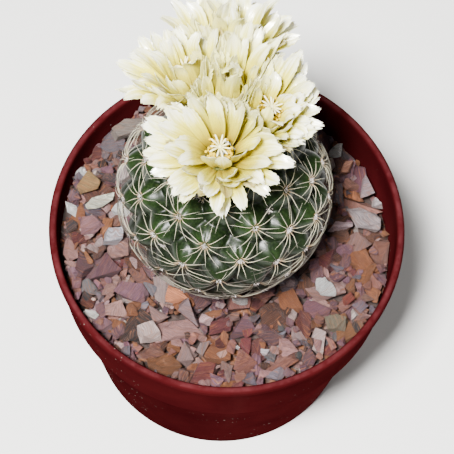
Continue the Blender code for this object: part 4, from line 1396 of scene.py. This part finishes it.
def make_bloom(name, surface):
    """The tube with its clasping scales, and four crowded whorls of tepals."""
    rng = random.Random(SEED + 20 + BLOOM_NAMES.index(name))
    size = BLOOMS[name][2]
    flower = Mesh()
    add_tube(flower, name)
    first = rng.uniform(0, math.tau)
    for rank, (count, length, half_width, root_tilt, final_tilt, *root) in enumerate(WHORLS):
        shut = CLOSED[name] * WHORL_CLOSING[rank]
        for k in range(count):
            stray = rng.uniform(-AZIMUTH_SPREAD, AZIMUTH_SPREAD)
            azimuth = first + math.tau * (k + 0.5 * rank + stray) / count
            out = around(name, azimuth)[0]
            rightward = max(0.0, out.x) if name == "right" else 0.0
            met = crowding(name, out, length * size) ** 0.7
            final = final_tilt + rng.uniform(*TILT_SPREAD) - FRONT_STEEPNESS * max(0.0, -out.y)
            final -= SIDE_STEEPNESS * rightward
            final -= LEANING_STEEPNESS if name == "back" else 0.0
            final -= max(0.0, final - CROWDED_TILT) * met * rng.uniform(0.5, 1.0)
            final = max(final - shut * final, LEAST_TILT)
            reach = length * size * rng.uniform(*LENGTH_SPREAD)
            if rank < len(WHORLS) - 1:
                reach *= 1 - FRONT_SHORTENING * max(0.0, -out.y)
                reach *= 1 - SIDE_SHORTENING * rightward
                reach *= 1 - CROWDED_SHORTENING * met
                reach *= 1 + REAR_LENGTHENING[name] * max(0.0, out.y)
            width = half_width * rng.uniform(*WIDTH_SPREAD)
            form = (reach, width, root_tilt * (1 - 0.6 * shut), final, *root)
            margin = PLANE_MARGIN + WHORL_MARGIN * rank + MARGIN_SPREAD * rng.random()
            outer = 0.35 * rng.random() if rank == 0 else 0.0
            add_tepal(flower, rng, name, azimuth, form, margin, outer, met)
    for count, length, half_width, root_tilt, final_tilt, *root in SCALES:
        for k in range(count):
            azimuth = math.tau * (k + rng.uniform(-0.25, 0.25)) / count
            form = (length * size * rng.uniform(0.85, 1.1), half_width, root_tilt,
                    final_tilt + rng.uniform(-8, 8), *root)
            add_tepal(flower, rng, name, azimuth, form, WHORL_MARGIN, 1.0, 0.0)
    if name == "front":
        add_tepal(flower, rng, name, DROOPING_AZIMUTH, DROOPING_TEPAL, 0.0, 0.0, 0.0)
    flower.piece("petals_" + name, surface, "petal_cream", ["flower_" + name], 60)


def make_stamens(name, surface):
    """A dense brush of filaments that end in golden anthers."""
    rng = np.random.default_rng(SEED + 40 + BLOOM_NAMES.index(name))
    share = np.array(STAMEN_SHARES)[:, None]
    paths, radii = [], []
    for _ in range(STAMEN_COUNT):
        turn = rng.uniform(0, math.tau)
        out = np.array([math.cos(turn), math.sin(turn), 0.0])
        foot = out * rng.uniform(*STAMEN_CIRCLE) + STAMEN_FOOT * UP
        lean = rng.uniform(*STAMEN_LEAN)
        height = rng.uniform(*STAMEN_TOP) - STAMEN_FOOT
        path = foot + share * height * UP + share ** 1.6 * out * lean * height
        paths.append(path + share ** 2 * rng.uniform(-STAMEN_STRAY, STAMEN_STRAY, 3))
        radii.append(np.array(STAMEN_RADII) * rng.uniform(0.85, 1.15))
    bristles("anthers_" + name, surface, "pollen_yellow", ["stamens_" + name], 60, 6,
             in_bloom(name, paths), radii, along=np.tile(STAMEN_SHARES, STAMEN_COUNT))


def make_stigma(name, surface):
    """A style with a star of finger-like lobes that spread and curl at their ends."""
    rng = np.random.default_rng(SEED + 60 + BLOOM_NAMES.index(name))
    share = np.array(LOBE_SHARES)[:, None]
    paths = []
    for k in range(LOBE_COUNT):
        turn = math.tau * (k + rng.uniform(-0.25, 0.25)) / LOBE_COUNT
        out = np.array([math.cos(turn), math.sin(turn), 0.0])
        length = rng.uniform(*LOBE_LENGTH)
        lift = rng.uniform(*LOBE_LIFT)
        spread = share * (out + lift * UP) - 0.25 * share ** 2 * UP
        paths.append(out * 0.0002 + UP * LOBE_FOOT + length * spread)
    paths.append(np.array(STYLE_HEIGHTS)[:, None] * UP)
    radii = [LOBE_RADII] * LOBE_COUNT + [STYLE_RADII]
    along = [*LOBE_SHARES] * LOBE_COUNT + [0.5 * place for place in LOBE_SHARES]
    bristles("stigma_lobes_" + name, surface, "stigma_cream", ["stigma_" + name], 60, 8,
             in_bloom(name, paths), radii, along=along)


def make_floor():
    """A wide flat square under the pot."""
    mesh = bpy.data.meshes.new("floor")
    corners = [(x * FLOOR_HALF, y * FLOOR_HALF, 0) for x, y in ((-1, -1), (1, -1), (1, 1), (-1, 1))]
    mesh.from_pydata(corners, [], [(0, 1, 2, 3)])
    mesh.materials.append(floor_material())
    floor = new_object("floor", mesh)


def make_lights():
    """Soft area lights that face the plant, in a dim studio."""
    for name, place, size, power, colour in LIGHTS:
        light = bpy.data.lights.new(name, "AREA")
        light.size = size
        light.energy = power
        light.color = colour
        made = new_object(name, light)
        made.location = place
        made.rotation_euler = (Vector(place) - Vector(LIT_PLACE)).to_track_quat("Z", "Y").to_euler()
    world = bpy.data.worlds.new("studio")
    world.use_nodes = True
    feed(world.node_tree.nodes["Background"], Color=STUDIO_COLOUR, Strength=STUDIO_LIGHT)
    bpy.context.scene.world = world


def make_camera():
    """The photo's viewing angle, with a small shift for its framing."""
    across = Vector((1, 0, 0))
    upward = Vector((0, math.sin(CAMERA_TILT), math.cos(CAMERA_TILT)))
    ahead = Vector((0, math.cos(CAMERA_TILT), -math.sin(CAMERA_TILT)))
    right = across * math.cos(CAMERA_ROLL) + upward * math.sin(CAMERA_ROLL)
    up = upward * math.cos(CAMERA_ROLL) - across * math.sin(CAMERA_ROLL)
    camera = new_object("camera", bpy.data.cameras.new("camera"))
    place = Vector((0, 0, POT_HEIGHT)) - ahead * CAMERA_DISTANCE
    camera.matrix_world = Matrix.Translation(place) @ Matrix((right, up, -ahead)).transposed().to_4x4()
    camera.data.sensor_width = SENSOR
    camera.data.lens = FOCAL_PIXELS / IMAGE_SIZE * SENSOR
    camera.data.shift_x = SHIFT_PIXELS[0] / IMAGE_SIZE
    camera.data.shift_y = SHIFT_PIXELS[1] / IMAGE_SIZE
    bpy.context.scene.camera = camera


make_camera()
make_lights()
make_floor()
make_pot()
make_soil()
make_gravel()
make_stem()
make_spines()
make_wool()
PETALS = petal_material()
POLLEN = pollen_material()
STIGMA = stigma_material()
for bloom in BLOOM_NAMES:
    make_bloom(bloom, PETALS)
    make_stamens(bloom, POLLEN)
    make_stigma(bloom, STIGMA)
